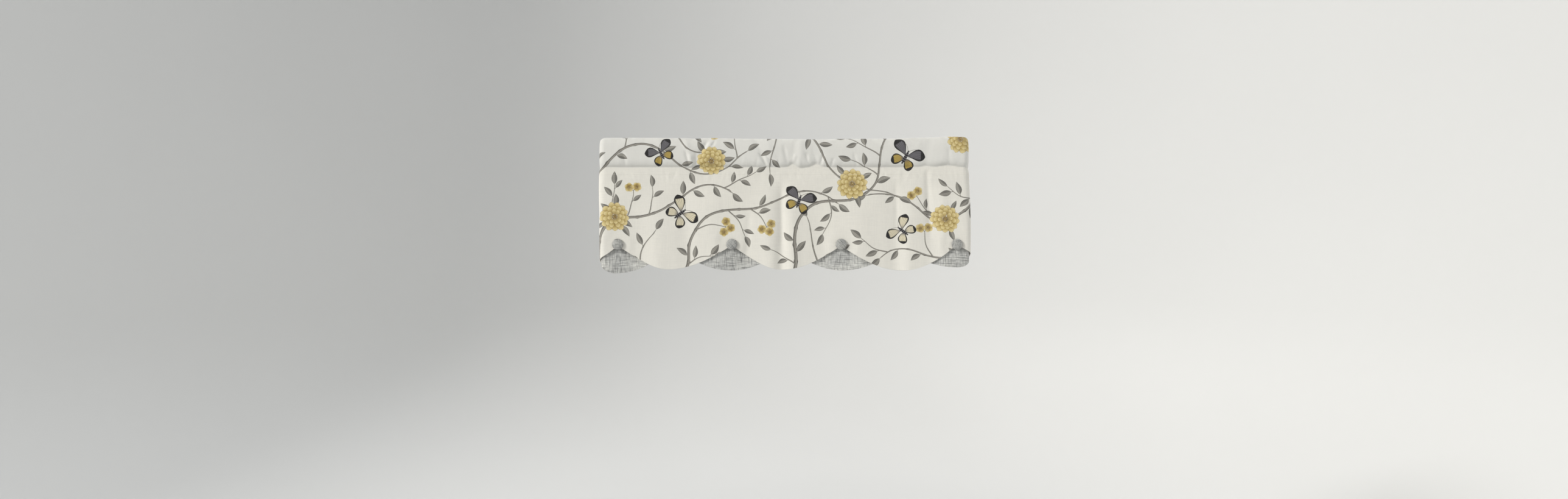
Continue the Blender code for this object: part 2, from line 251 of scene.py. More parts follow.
# The tucks above the pocket's bottom line crowd together about the middle.
TUCK_SPARSE = 0.45
TUCK_CROWDED = 1.9
CROWD_RUN = 0.010
CROWD_HALF_WIDTH = 0.170
SWELLS = 26
SWELL_STAND = 0.00060
SWELL_HALF_WIDTH = 0.045
SWELL_TALLNESS = 1.6
SWELL_HEIGHTS = (-0.40, -0.12)

# How the sheets are divided and finished.
FINE_STEP = 0.0052
POCKET_STEP = 0.0036
POCKET_STEP_BELOW = 0.012
BACK_STEP = 0.0085
BEND_STEP = 0.0040
HEM_STEP = 0.0045
END_POINTS = 60
EDGE_MARGIN = 0.0018
RIM_BULGE = 0.00045
FLAP_STAND = -0.00162
FLAP_SHORT = 0.0012
ARC_SAMPLES = 4001
SLOPE_STEP = 0.0004
# Sharp turns of the panel are averaged over these shifts along the drop, each with its share.
ROUNDING = ((-0.0024, 0.16), (-0.0012, 0.22), (0.0, 0.24), (0.0012, 0.22), (0.0024, 0.16))


def smooth(t):
    """Ease from 0 to 1 as t goes from 0 to 1."""
    t = np.clip(t, 0.0, 1.0)
    return t * t * (3.0 - 2.0 * t)


def bell(distance, half_width):
    return np.exp(-((distance / half_width) ** 2))


CORNER_ARC = math.pi / 2 * CORNER_RADIUS
END_STRAIGHT = END_DEPTH - CORNER_RADIUS
LEFT_BEND = FACE_LEFT + CORNER_RADIUS
RIGHT_BEND = FACE_RIGHT - CORNER_RADIUS
RUN_MIN = LEFT_BEND - CORNER_ARC - END_STRAIGHT
RUN_MAX = RIGHT_BEND + CORNER_ARC + END_STRAIGHT


def past_bend(run):
    """How far a run lies past the bend at its end of the face, negative on the face."""
    return np.maximum(run - RIGHT_BEND, LEFT_BEND - run)


def end_share_at(run):
    """From 0 on the face to 1 on the straight ends."""
    return smooth(past_bend(run) / CORNER_ARC)


def plain_plan(run):
    """Points of the hang plane without its flares, which way it bends and by how much."""
    side = np.where(run > 0, 1.0, -1.0)
    past = past_bend(run)
    angle = np.clip(past, 0.0, CORNER_ARC) / CORNER_RADIUS
    bend = np.where(run > 0, RIGHT_BEND, LEFT_BEND)
    x = np.where(past <= 0, run, bend + side * CORNER_RADIUS * np.sin(angle))
    y = CORNER_RADIUS * (1.0 - np.cos(angle)) + np.maximum(past - CORNER_ARC, 0.0)
    return x, y, side, angle


def plan(run, z):
    """Points of the hang plane and its outward direction, seen from above."""
    x, y, side, angle = plain_plan(run)
    flare_share = smooth((x - FLARE_FROM) / (FACE_RIGHT - FLARE_FROM))
    x = x + HEM_FLARE * flare_share * smooth((POCKET_BOTTOM - z) / FLARE_DROP)
    spread = np.where(run > 0, np.interp(-z, SPREAD_DROPS, SPREAD_RIGHT),
                      -np.interp(-z, SPREAD_DROPS, SPREAD_LEFT))
    x = x + spread * smooth((past_bend(run) + SPREAD_FROM) / (CORNER_ARC + SPREAD_FROM))
    return x, y, side * np.sin(angle), -np.cos(angle)


def place(run, stand, z):
    """World positions of points that stand out from the hang plane, as rows of x, y, z."""
    x, y, out_x, out_y = plan(run, z)
    return np.stack((x + out_x * stand, y + out_y * stand, z + 0.0 * x), axis=-1)


def hem_height(run, scallops):
    """Height of a scalloped hem at places along the cloth."""
    height = np.full(np.shape(run), scallops[-1].high_z)
    for half in scallops:
        low, high = sorted((half.low_run, half.high_run))
        share = np.abs(run - half.low_run) / (high - low)
        k = half.straightness
        rise = (np.sqrt(1.0 + (k * share) ** 2) - 1.0) / (math.sqrt(1.0 + k * k) - 1.0)
        inside = (run >= low) & (run <= high)
        height = np.where(inside, half.low_z + (half.high_z - half.low_z) * rise, height)
    return height


def top_height(run):
    """Height of the top edge, lowered round the two top corners."""
    height = np.full(np.shape(run), TOP_EDGE[-1].z)
    for left, right in zip(TOP_EDGE, TOP_EDGE[1:]):
        share = smooth((run - left.run) / (right.run - left.run))
        inside = (run >= left.run) & (run <= right.run)
        height = np.where(inside, left.z + (right.z - left.z) * share, height)
    x = plain_plan(run)[0]
    past = np.maximum(x - FACE_RIGHT, FACE_LEFT - x) + TOP_CORNER_RADIUS
    past = np.clip(past, 0.0, TOP_CORNER_RADIUS)
    drop = TOP_CORNER_RADIUS - np.sqrt(TOP_CORNER_RADIUS ** 2 - past ** 2)
    return height - TOP_CORNER_DROP_SHARE * drop


def near_button(run, z):
    """From 0 where a button is sewn on flat to 1 away from the buttons."""
    free = 1.0
    for button_run in BUTTON_RUNS:
        distance = np.hypot(run - button_run, z - BUTTON_Z)
        free = free * smooth((distance - FLAT_INSIDE) / (FLAT_FADE - FLAT_INSIDE))
    return free


def fold_stand(run, z):
    """How far the cloth below the pocket stands out."""
    drop = np.maximum(STITCH_LINE - z, 0.0)
    lower_share = smooth((drop - FOLD_UPPER_DROP) / (FOLD_LOWER_DROP - FOLD_UPPER_DROP))
    total = 0.0
    for fold in FOLDS:
        push = fold.upper + (fold.lower - fold.upper) * lower_share
        total = total + push * bell(run - fold.run - fold.lean * drop, fold.half_width)
    return total * smooth(drop / FOLD_FADE_DROP) * near_button(run, z)


def crease_stand(run, z):
    """The hand-placed creases: how far they push the cloth back or out."""
    total = 0.0
    for crease in CREASES:
        along = np.array((crease.run_b - crease.run_a, crease.z_b - crease.z_a))
        length = math.hypot(*along)
        along /= length
        reach = (run - crease.run_a) * along[0] + (z - crease.z_a) * along[1]
        aside = (run - crease.run_a) * along[1] - (z - crease.z_a) * along[0]
        ends = smooth(reach / (CREASE_FADE_IN * length))
        ends = ends * smooth((length - reach) / (CREASE_FADE_OUT * length))
        total = total - crease.depth * ends * bell(aside, crease.half_width)
    return total


Push = namedtuple("Push", "run stand half_width lean")


def scatter(rng, count, stand, half_width):
    """Uneven places along the cloth, each with its own push and width."""
    step = (RUN_MAX - RUN_MIN) / count
    made = []
    for index in range(count):
        run = RUN_MIN + step * (index + rng.uniform(0.1, 0.9))
        push = stand * rng.uniform(*STAND_SHARES) * rng.choice((-1.0, 1.0))
        made.append(Push(run, push, half_width * rng.uniform(*WIDTH_SHARES), rng.uniform(*LEANS)))
    return made


relief_rng = random.Random(RELIEF_SEED)
PUCKER_PUSHES = scatter(relief_rng, PUCKERS, PUCKER_STAND, PUCKER_HALF_WIDTH)
TOP_TUCKS = scatter(relief_rng, TOP_TUCK_COUNT, TUCK_STAND, TOP_TUCK_HALF_WIDTH)
BOTTOM_TUCKS = scatter(relief_rng, BOTTOM_TUCK_COUNT, TUCK_STAND, BOTTOM_TUCK_HALF_WIDTH)
SWELL_PUSHES = [(push, relief_rng.uniform(*SWELL_HEIGHTS))
                for push in scatter(relief_rng, SWELLS, SWELL_STAND, SWELL_HALF_WIDTH)]
GATHER_STANDS = [Push(g.run, g.stand, g.half_width, -g.lean) for g in GATHERS]
GATHER_LIFTS = [Push(g.run, g.lift, g.half_width, 0.0) for g in GATHERS]


def ruffle(run, height, pushes):
    """The sum of some pushes, each leaning with the height above the line that it starts from."""
    total = 0.0
    for push in pushes:
        total = total + push.stand * bell(run - push.run - push.lean * height, push.half_width)
    return total


def lower_relief(run, z):
    """Fine unevenness below the pocket: puckers at the stitch line and wide shallow swells."""
    total = bell(z - STITCH_LINE, PUCKER_REACH) * ruffle(run, z - STITCH_LINE, PUCKER_PUSHES)
    for push, height in SWELL_PUSHES:
        tall = SWELL_TALLNESS * push.half_width
        total = total + ruffle(run, z - height, [push]) * bell(z - height, tall)
    below_pocket = smooth((POCKET_BOTTOM - z) / (POCKET_BOTTOM - STITCH_LINE))
    return (total + crease_stand(run, z)) * near_button(run, z) * below_pocket


def pocket_relief(run, z, top, bottom):
    """Fine unevenness of the pocket's front: small tucks at its top and bottom, and creases."""
    crowd = TUCK_SPARSE + (TUCK_CROWDED - TUCK_SPARSE) * bell(run - CROWD_RUN, CROWD_HALF_WIDTH)
    at_top = bell(z - top, TUCK_REACH) * ruffle(run, z - top, TOP_TUCKS)
    at_bottom = crowd * bell(z - bottom, TUCK_REACH) * ruffle(run, z - bottom, BOTTOM_TUCKS)
    return at_top + at_bottom + crease_stand(run, z)


def pocket_height(angle):
    """Height of a point of the pocket's squarish oval, from -1 to 1, at an angle round it."""
    return np.copysign(np.abs(np.sin(angle)) ** (2.0 / POCKET_SQUARENESS), np.sin(angle))


def pocket_depth(angle):
    """How far out a point of the pocket's squarish oval is, from 0 to 1, at an angle round it."""
    return np.maximum(np.cos(angle), 0.0) ** (2.0 / POCKET_SQUARENESS)


def quarter_arcs():
    """Angle round the nominal pocket for each share of its front from the top edge down."""
    angle = np.linspace(math.pi / 2, -math.pi / 2, ARC_SAMPLES)
    stand = POCKET_BULGE * pocket_depth(angle)
    z = -POCKET_BOTTOM / 2 * pocket_height(angle)
    steps = np.hypot(np.diff(stand), np.diff(z))
    reached = np.concatenate(([0.0], np.cumsum(steps)))
    return reached[-1], reached / reached[-1], angle


POCKET_ARC, ARC_SHARES, ARC_ANGLES = quarter_arcs()
STITCH_DROP = POCKET_ARC + POCKET_BOTTOM - STITCH_LINE
FLAP_EDGE = FLAP_SHORT - STITCH_DROP


def pocket_lift(run):
    """How far the pocket's bottom is lifted, by its gathers and by the pull of the rod."""
    return (POCKET_PULL + ruffle(run, 0.0, GATHER_LIFTS)) * (1.0 - end_share_at(run))


def pocket_line(run):
    """Drop of the pocket's bottom line."""
    return POCKET_ARC - pocket_lift(run)


def pocket_point(run, drop, top, bottom, arc):
    """Stand and height of the pocket's cloth, in front of its rod or, past the top, behind it."""
    end_share = end_share_at(run)
    angle = np.interp(np.clip(np.abs(drop) / arc, 0.0, 1.0), ARC_SHARES, ARC_ANGLES)
    up = pocket_height(angle)
    middle = (top + bottom) / 2
    z = middle + (top - bottom) / 2 * up
    front_bulge = POCKET_BULGE + (END_FRONT_BULGE - POCKET_BULGE) * end_share
    back_bulge = POCKET_BULGE + (END_BACK_BULGE - POCKET_BULGE) * end_share
    front_share = np.where(up < 0, 1.0 - np.abs(up) ** BOTTOM_FALL, pocket_depth(angle))
    relief = ruffle(run, z - middle, GATHER_STANDS) + pocket_relief(run, z, top, bottom)
    relief = relief * np.maximum(np.cos(angle), 0.0) * (1.0 - end_share)
    back_share = smooth((math.pi / 2 - angle) / math.pi)
    on_front = front_bulge * front_share + relief
    on_back = FLAP_STAND * back_share - back_bulge * pocket_depth(angle)
    return np.where(drop >= 0, on_front, on_back), z


def panel_line_point(run, drop):
    """World positions of the middle of the front panel's cloth before its turns are rounded."""
    top = top_height(run)
    bottom = POCKET_BOTTOM + pocket_lift(run)
    arc = pocket_line(run)
    stand, z = pocket_point(run, drop, top, bottom, arc)
    below = np.abs(drop) - arc
    lower_z = bottom - below
    lower_stand = fold_stand(run, lower_z) + lower_relief(run, lower_z)
    lower_stand = lower_stand + np.where(drop >= 0, 0.0, FLAP_STAND)
    return place(run, np.where(below > 0, lower_stand, stand), np.where(below > 0, lower_z, z))


def panel_point(run, drop):
    """World positions of the middle of the front panel's cloth, its sharp turns rounded."""
    return sum(share * panel_line_point(run, drop + shift) for shift, share in ROUNDING)


def petticoat_point(run, drop):
    """World positions of the middle of the petticoat's cloth, a drop below its top edge."""
    z = PETTICOAT_TOP - drop
    seam = -1.5 * FRONT_THICKNESS - GAP - PETTICOAT_THICKNESS / 2
    wave = PETTICOAT_WAVE * np.sin(2.0 * math.pi * run / PETTICOAT_WAVE_LENGTH)
    slack = (PETTICOAT_SLACK + wave) * (1.0 - (1.0 - END_SLACK_SHARE) * end_share_at(run))
    hang = smooth((STITCH_LINE - z) / PETTICOAT_SLACK_DROP)
    stand = seam + fold_stand(run, z) + lower_relief(run, z) - slack * hang
    return place(run, stand, z)


def panel_hem(run):
    """Drop of the front panel's hem."""
    return POCKET_ARC + POCKET_BOTTOM - hem_height(run, FRONT_HEM)


def petticoat_hem(run):
    """Drop of the petticoat's hem below its own top edge."""
    return PETTICOAT_TOP - hem_height(run, PETTICOAT_HEM)


def outward(point, run, drop):
    """Unit vectors square to the cloth, towards its printed side."""
    run_slope = point(run + SLOPE_STEP, drop) - point(run - SLOPE_STEP, drop)
    drop_slope = point(run, drop + SLOPE_STEP) - point(run, drop - SLOPE_STEP)
    square = np.cross(drop_slope, run_slope)
    return square / np.linalg.norm(square, axis=-1, keepdims=True)


# ---------------------------------------------------------------- the print

PRINT_SEED = 18
STEM_STEP = 0.009
KINK = 9.0
KINK_EVERY = 6
KNOT = 0.30
VINE_TAPER = 0.38

# Trailing vines. heading is in degrees across the flat cloth, with 0 to the right and 90 up.
# bend is how far it turns over the whole length and sway how far it swings to either side, in
# waves of sway_length.
VINES = table(
    "run drop heading length bend sway sway_length width leaf_side",
    (-0.655, 0.135, 8, 0.62, -10, 42, 0.46, 0.0085, 1),
    (-0.610, 0.440, 62, 0.60, -70, 26, 0.34, 0.0105, 1),
    (-0.330, 0.450, 70, 0.66, -95, 24, 0.40, 0.0095, -1),
    (0.020, 0.450, 55, 0.74, -20, 44, 0.44, 0.0110, 1),
    (-0.026, -0.118, -58, 0.52, 36, 18, 0.33, 0.0080, 1),
    (0.650, 0.170, 196, 0.44, -40, 32, 0.36, 0.0085, -1),
    (0.655, 0.395, 160, 0.36, 36, 20, 0.30, 0.0080, -1),
    (-0.470, -0.110, -60, 0.30, 50, 20, 0.24, 0.0075, 1),
    (-0.075, -0.115, -74, 0.24, -22, 18, 0.22, 0.0065, -1),
    (0.105, 0.455, 82, 0.20, 34, 14, 0.20, 0.0065, -1),
    (-0.455, 0.455, 96, 0.17, -42, 12, 0.18, 0.0060, 1),
)
ROSETTES = table(
    "run drop radius turn",
    (-0.545, 0.255, 0.047, 10),
    (-0.235, 0.075, 0.046, 33),
    (0.215, 0.150, 0.049, 20),
    (0.505, 0.262, 0.046, 5),
    (0.560, 0.010, 0.044, 42),
)
BUTTERFLIES = table(
    "run drop span heading pale",
    (-0.395, 0.052, 0.100, 120, 0.2),
    (-0.335, 0.245, 0.118, 38, 0.9),
    (0.045, 0.205, 0.112, 70, 0.1),
    (0.375, 0.300, 0.104, 140, 0.8),
    (0.385, 0.062, 0.120, 60, 0.3),
)

# Rings of petals from the outside in, their lengths and widths in shares of the rosette's radius.
PETAL_RINGS = table(
    "petals inner outer half_width tone",
    (13, 0.30, 1.00, 0.230, 0.15),
    (11, 0.20, 0.76, 0.190, 0.45),
    (8, 0.10, 0.52, 0.150, 0.75),
)

# Outlines of blades, the pointed or rounded shapes of leaves, petals and wings: where along the
# midrib they are widest, and how blunt their ends are.
BladeForm = namedtuple("BladeForm", "widest roundness")
BLADE_FORMS = {
    "leaf": BladeForm(0.82, 0.95),
    "petal": BladeForm(1.45, 0.62),
    "blossom": BladeForm(1.35, 0.60),
    "upper_wing": BladeForm(1.75, 0.72),
    "lower_wing": BladeForm(1.50, 0.55),
    "body": BladeForm(0.90, 0.60),
}
BLADE_STEPS = 12
BLOSSOM_STEPS = 7
WING_STEPS = 18

# A leaf's widths and bows, its blade, how far its stalk reaches into it, and the places along it
# that have to be clear.
LEAF_WIDTHS = (0.165, 0.205)
LEAF_BOWS = (-0.45, 0.45)
LEAF_BLADE_SHARE = 0.88
STALK_SHARE = 1.15 * (1.0 - LEAF_BLADE_SHARE)
STALK_WIDTHS = (0.0022, 0.0020, 0.0018)
STALK_TONE = 0.4
LEAF_REACHES = (0.45, 0.70, 0.95)
LEAF_CLEARANCE = 0.003
LEAF_ROOT = 0.016

# Ranges of the lengths of leaves and side shoots, and of their angles to the stem, in degrees.
VINE_LEAF_LENGTHS = (0.040, 0.052)
VINE_LEAF_ANGLES = (38, 58)
VINE_END_LEAF = 0.048
SPRIG_LEAF_LENGTHS = (0.036, 0.048)
SPRIG_LEAF_ANGLES = (38, 56)
END_LEAF_LENGTHS = (0.040, 0.050)
SHOOT_LENGTHS = (0.075, 0.125)
SHOOT_ANGLES = (36, 54)
# Steps along a vine before its first leaf, past its last one and from one to the next.
FIRST_LEAF = 5
LAST_LEAF = 3
LEAF_STEPS = (3, 4, 4)
SPRIG_LEAF_STEP = 3
VINE_HALF_WIDTH = 0.003

# A blossom's petals and its heart are in shares of its radius.
BLOSSOM_RADIUS = 0.0150
BLOSSOM_PETALS = 5
BLOSSOM_PETAL_ROOT = 0.08
BLOSSOM_PETAL_LENGTH = 0.92
BLOSSOM_PETAL_HALF_WIDTH = 0.47
BLOSSOM_HEART = 0.26
BLOSSOM_SPREAD = 95
BLOSSOM_REACH = 0.017
LONE_BLOSSOM_REACH = 0.006
# How many blossoms a side shoot ends in, or none where it ends in a leaf.
SPRIG_BLOSSOMS = (0, 3, 0, 0, 2, 0, 1)
SPRIG_BEND = 40
SPRIG_BEND_SHARES = (0.3, 1.2)
SPRIG_SWAY = 10
SPRIG_WIDTHS = (0.0042, 0.0020)
SPRIG_CLEARANCE = 0.010
SPRIG_ROOT = 0.028
SPRIG_TIP = 0.026

# A printed shape: its outline on the flat cloth, the point that its ink is drawn from and how far
# it reaches along and across, its bow and its tone.
Motif = namedtuple("Motif", "kind outline origin along across bow tone")


def direction(heading):
    """Unit vector across the flat cloth, as (run, drop)."""
    return np.array((math.cos(math.radians(heading)), -math.sin(math.radians(heading))))


def blade(kind, base, heading, length, half_width, bow=0.0, tone=0.5, steps=BLADE_STEPS):
    """A leaf, petal or wing about a midrib that may be bowed to one side."""
    form = BLADE_FORMS[kind]
    along = direction(heading) * length
    across = direction(heading + 90) * half_width
    share = (1.0 - np.cos(np.pi * np.arange(steps + 1) / steps)) / 2
    half = np.sin(np.pi * share ** form.widest) ** form.roundness
    half[0] = half[-1] = 0.0
    rib = bow * 4.0 * share * (1.0 - share)
    upper = base + np.outer(share, along) + np.outer(rib + half, across)
    lower = base + np.outer(share, along) + np.outer(rib - half, across)
    return Motif(kind, [*upper, *lower[-2:0:-1]], base, along, across, bow, tone)


def disc(kind, centre, radius, sides):
    outline = [centre + direction(-360 * index / sides) * radius for index in range(sides)]
    return Motif(kind, outline, centre, direction(0) * radius, direction(90) * radius, 0.0, 0.5)


def stem(path, widths, tone):
    """A tapering ribbon along a path, in short straight pieces."""
    path = np.asarray(path)
    steps = np.gradient(path, axis=0)
    steps /= np.linalg.norm(steps, axis=1)[:, None]
    sides = np.stack((steps[:, 1], -steps[:, 0]), axis=1) * np.asarray(widths)[:, None] / 2
    made = []
    for i in range(len(path) - 1):
        j = i + 1
        outline = [path[i] + sides[i], path[j] + sides[j], path[j] - sides[j], path[i] - sides[i]]
        across = (sides[i] + sides[j]) / 2
        made.append(Motif("stem", outline, path[i], path[j] - path[i], across, 0.0, tone))
    return made


def grow(start, heading, length, bend, sway=0.0, sway_length=1.0, rng=None):
    """Points and headings along a stem that bends and sways as it grows, with a few kinks."""
    count = max(3, round(length / STEM_STEP))
    point = np.array(start, dtype=float)
    points, headings = [point], []
    kink = 0.0
    for index in range(count):
        share = (index + 0.5) / count
        swing = sway * math.sin(2.0 * math.pi * share * length / sway_length)
        if rng is not None and index % KINK_EVERY == 0:
            kink = rng.uniform(-KINK, KINK)
        headings.append(heading + bend * share + swing + kink)
        point = point + direction(headings[-1]) * length / count
        points.append(point)
    headings.append(headings[-1])
    return points, headings


class Layout:
    """The motifs in the order in which they are printed, and the ground that they take."""

    def __init__(self):
        self.motifs = []
        self.taken = []

    def take(self, points, radius):
        self.taken += [(point[0], point[1], radius) for point in points]

    def is_clear(self, points, radius, root, root_radius):
        """Whether points keep a radius from what is printed, apart from that near the root."""
        x, y, taken_radius = np.array(self.taken).T
        away = np.hypot(x - root[0], y - root[1]) > root_radius
        apart = [np.hypot(x - px, y - py) - taken_radius for px, py in points]
        return all(row[away].min() >= radius for row in apart)


def add_leaf(layout, rng, base, heading, length, always=False):
    """A leaf on a short stalk, where there is room for it or where it is always wanted."""
    half_width = length * rng.uniform(*LEAF_WIDTHS)
    bow = rng.uniform(*LEAF_BOWS)
    ahead = direction(heading) * length
    reach = [base + ahead * share for share in LEAF_REACHES]
    if not always and not layout.is_clear(reach, half_width + LEAF_CLEARANCE, base, LEAF_ROOT):
        return
    stalk = base + ahead * STALK_SHARE
    layout.motifs += stem([base, (base + stalk) / 2, stalk], STALK_WIDTHS, STALK_TONE)
    blade_length = length * LEAF_BLADE_SHARE
    layout.motifs.append(blade("leaf", stalk, heading, blade_length, half_width, bow, rng.random()))
    layout.take(reach, half_width)


def add_blossom(layout, rng, centre):
    """A small flower of five petals."""
    turn = rng.uniform(0, 360 / BLOSSOM_PETALS)
    for index in range(BLOSSOM_PETALS):
        heading = turn + 360 * index / BLOSSOM_PETALS
        base = centre + direction(heading) * BLOSSOM_RADIUS * BLOSSOM_PETAL_ROOT
        length = BLOSSOM_RADIUS * BLOSSOM_PETAL_LENGTH
        half_width = BLOSSOM_RADIUS * BLOSSOM_PETAL_HALF_WIDTH
        layout.motifs.append(blade("blossom", base, heading, length, half_width, 0.0,
                                   rng.random(), BLOSSOM_STEPS))
    layout.motifs.append(disc("heart", centre, BLOSSOM_RADIUS * BLOSSOM_HEART, 8))
    layout.take([centre], BLOSSOM_RADIUS)


def add_sprig(layout, rng, start, heading, length, side, blossoms):
    """A side shoot that ends in a leaf or in blossoms. Returns whether there was room for it."""
    bend = SPRIG_BEND * side * rng.uniform(*SPRIG_BEND_SHARES)
    points, headings = grow(start, heading, length, bend, SPRIG_SWAY, length)
    end, end_heading = points[-1], headings[-1]
    tip = end + direction(end_heading) * SPRIG_TIP
    if not layout.is_clear(points[4:] + [tip], SPRIG_CLEARANCE, start, SPRIG_ROOT):
        return False
    layout.motifs += stem(points, np.linspace(*SPRIG_WIDTHS, len(points)), rng.random())
    layout.take(points[2:], SPRIG_WIDTHS[1])
    for index in range(blossoms):
        turn = (index - (blossoms - 1) / 2) * BLOSSOM_SPREAD
        reach = LONE_BLOSSOM_REACH if blossoms == 1 else BLOSSOM_REACH
        centre = end + direction(end_heading + turn) * reach
        layout.motifs += stem([end, centre], STALK_WIDTHS[1:], STALK_TONE)
        add_blossom(layout, rng, centre)
    if not blossoms:
        add_leaf(layout, rng, end, end_heading, rng.uniform(*END_LEAF_LENGTHS), always=True)
    side = 1
    for index in range(SPRIG_LEAF_STEP, len(points) - 1, SPRIG_LEAF_STEP):
        leaf_heading = headings[index] + side * rng.uniform(*SPRIG_LEAF_ANGLES)
        add_leaf(layout, rng, points[index], leaf_heading, rng.uniform(*SPRIG_LEAF_LENGTHS))
        side = -side
    return True


def dress_vine(layout, rng, vine, points, headings):
    """Leaves and side shoots by turns along a vine, on either side, wherever there is room."""
    side = vine.leaf_side
    index, turn = FIRST_LEAF, 0
    while index < len(points) - LAST_LEAF:
        point, heading = points[index], headings[index]
        done = False
        if turn % 2 == 0:
            blossoms = SPRIG_BLOSSOMS[(index + turn) % len(SPRIG_BLOSSOMS)]
            shoot_heading = heading + side * rng.uniform(*SHOOT_ANGLES)
            shoot_length = rng.uniform(*SHOOT_LENGTHS)
            done = add_sprig(layout, rng, point, shoot_heading, shoot_length, side, blossoms)
        if not done:
            leaf_heading = heading + side * rng.uniform(*VINE_LEAF_ANGLES)
            add_leaf(layout, rng, point, leaf_heading, rng.uniform(*VINE_LEAF_LENGTHS))
        side = -side
        turn += 1
        index += rng.choice(LEAF_STEPS)
    add_leaf(layout, rng, points[-1], headings[-1], VINE_END_LEAF, always=True)


# A rosette's leaves start and its heart ends at these shares of its radius. Its leaves are turned
# by this many times its own turn and its petals vary by a few degrees and shares.
ROSETTE_LEAVES = 3
ROSETTE_LEAF_ROOT = 0.62
ROSETTE_LEAF_TURN = 7
ROSETTE_LEAF_SWING = 30
ROSETTE_HEART = 0.16
ROSETTE_HEART_SIDES = 10
PETAL_SWING = 4
PETAL_LENGTHS = (0.92, 1.06)
PETAL_BOW = 0.15
PETAL_TONE = 0.12


def add_rosette(layout, rng, rosette):
    """A large flower of three rings of petals, with a few leaves half hidden behind it."""
    centre = np.array((rosette.run, rosette.drop))
    radius = rosette.radius
    for index in range(ROSETTE_LEAVES):
        heading = rosette.turn * ROSETTE_LEAF_TURN + 360 * index / ROSETTE_LEAVES
        heading += rng.uniform(-ROSETTE_LEAF_SWING, ROSETTE_LEAF_SWING)
        base = centre + direction(heading) * radius * ROSETTE_LEAF_ROOT
        add_leaf(layout, rng, base, heading, rng.uniform(*END_LEAF_LENGTHS), always=True)
    for ring in PETAL_RINGS:
        for index in range(ring.petals):
            heading = rosette.turn + 360 * (index + 0.5 * (ring.petals % 2)) / ring.petals
            heading += rng.uniform(-PETAL_SWING, PETAL_SWING)
            base = centre + direction(heading) * radius * ring.inner
            length = radius * (ring.outer - ring.inner) * rng.uniform(*PETAL_LENGTHS)
            bow = rng.uniform(-PETAL_BOW, PETAL_BOW)
            tone = ring.tone + rng.uniform(-PETAL_TONE, PETAL_TONE)
            layout.motifs.append(blade("petal", base, heading, length, radius * ring.half_width,
                                       bow, tone))
    layout.motifs.append(disc("heart", centre, radius * ROSETTE_HEART, ROSETTE_HEART_SIDES))


# Each pair of a butterfly's wings: how far ahead of its middle they grow, how far they are turned
# from its heading, and their lengths and half widths, in shares of half its span.
WING_PAIRS = table(
    "kind ahead turn length half_width",
    ("lower_wing", -0.10, 128, 0.74, 0.27),
    ("upper_wing", 0.02, 62, 1.04, 0.30),
)
WING_BOW = 0.25
# Its two feelers and its body, in the same shares, with the feelers' angles in degrees.
FEELER_ROOT = 0.25
FEELER_LENGTH = 0.55
FEELER_TURN = 22
FEELER_BEND = 50
FEELER_WIDTHS = (0.0012, 0.0010)
BODY_ROOT = -0.42
BODY_LENGTH = 0.80
BODY_HALF_WIDTH = 0.085


def add_butterfly(layout, fly):
    """A butterfly with its wings spread."""
    centre = np.array((fly.run, fly.drop))
    half = fly.span / 2
    ahead = direction(fly.heading) * half
    for side in (-1, 1):
        for wing in WING_PAIRS:
            layout.motifs.append(blade(wing.kind, centre + ahead * wing.ahead,
                                       fly.heading + side * wing.turn, half * wing.length,
                                       half * wing.half_width, -side * WING_BOW, fly.pale,
                                       WING_STEPS))
    for side in (-1, 1):
        feeler, _ = grow(centre + ahead * FEELER_ROOT, fly.heading + side * FEELER_TURN,
                         half * FEELER_LENGTH, side * FEELER_BEND)
        layout.motifs += stem(feeler, np.linspace(*FEELER_WIDTHS, len(feeler)), 0.0)
    layout.motifs.append(blade("body", centre + ahead * BODY_ROOT, fly.heading,
                               half * BODY_LENGTH, half * BODY_HALF_WIDTH))


def lay_out_print():
    """All the motifs of the print, the last ones on top."""
    rng = random.Random(PRINT_SEED)
    layout = Layout()
    grown = []
    for vine in VINES:
        points, headings = grow((vine.run, vine.drop), vine.heading, vine.length, vine.bend,
                                vine.sway, vine.sway_length, rng)
        widths = np.linspace(vine.width, vine.width * VINE_TAPER, len(points))
        widths[::KINK_EVERY] *= 1.0 + KNOT
        layout.motifs += stem(points, widths, rng.random())
        layout.take(points, VINE_HALF_WIDTH)
        grown.append((points, headings))
    for rosette in ROSETTES:
        layout.take([(rosette.run, rosette.drop)], rosette.radius)
    for fly in BUTTERFLIES:
        layout.take([(fly.run, fly.drop)], fly.span / 2)
    for vine, (points, headings) in zip(VINES, grown):
        dress_vine(layout, rng, vine, points, headings)
    layout.motifs.sort(key=lambda motif: motif.kind in ("blossom", "heart"))
    for rosette in ROSETTES:
        add_rosette(layout, rng, rosette)
    for fly in BUTTERFLIES:
        add_butterfly(layout, fly)
    return layout.motifs


# ---------------------------------------------------------------- materials

CREAM = (0.745, 0.722, 0.657)
CREAM_SHADE = (0.665, 0.645, 0.592)
# Painted shade: the pocket band is painted greyer and cooler than the cloth below it.
POCKET_PAINTED_SHADE = (0.632, 0.630, 0.606)
# A darker colour laid in noisy patches near the top edge of the cloth.
TOP_EDGE_DARK = (0.450, 0.430, 0.390)
REVERSE = (0.700, 0.680, 0.620)
THREAD = (0.700, 0.675, 0.600)
LEAF_DARK = (0.055, 0.051, 0.045)
LEAF_MID = (0.160, 0.153, 0.136)
LEAF_LIGHT = (0.310, 0.296, 0.262)
STEM_DARK = (0.058, 0.053, 0.046)
STEM_MID = (0.175, 0.164, 0.143)
STEM_LIGHT = (0.305, 0.288, 0.254)
OCHRE_DARK = (0.200, 0.125, 0.040)
OCHRE_MID = (0.405, 0.292, 0.076)
OCHRE_LIGHT = (0.655, 0.545, 0.282)
CHARCOAL = (0.014, 0.013, 0.014)
SLATE = (0.120, 0.115, 0.125)
WING_CREAM = (0.640, 0.580, 0.430)
HATCH_LIGHT = (0.670, 0.665, 0.628)
HATCH_GREY = (0.562, 0.562, 0.540)
HATCH_DARK = (0.075, 0.077, 0.078)
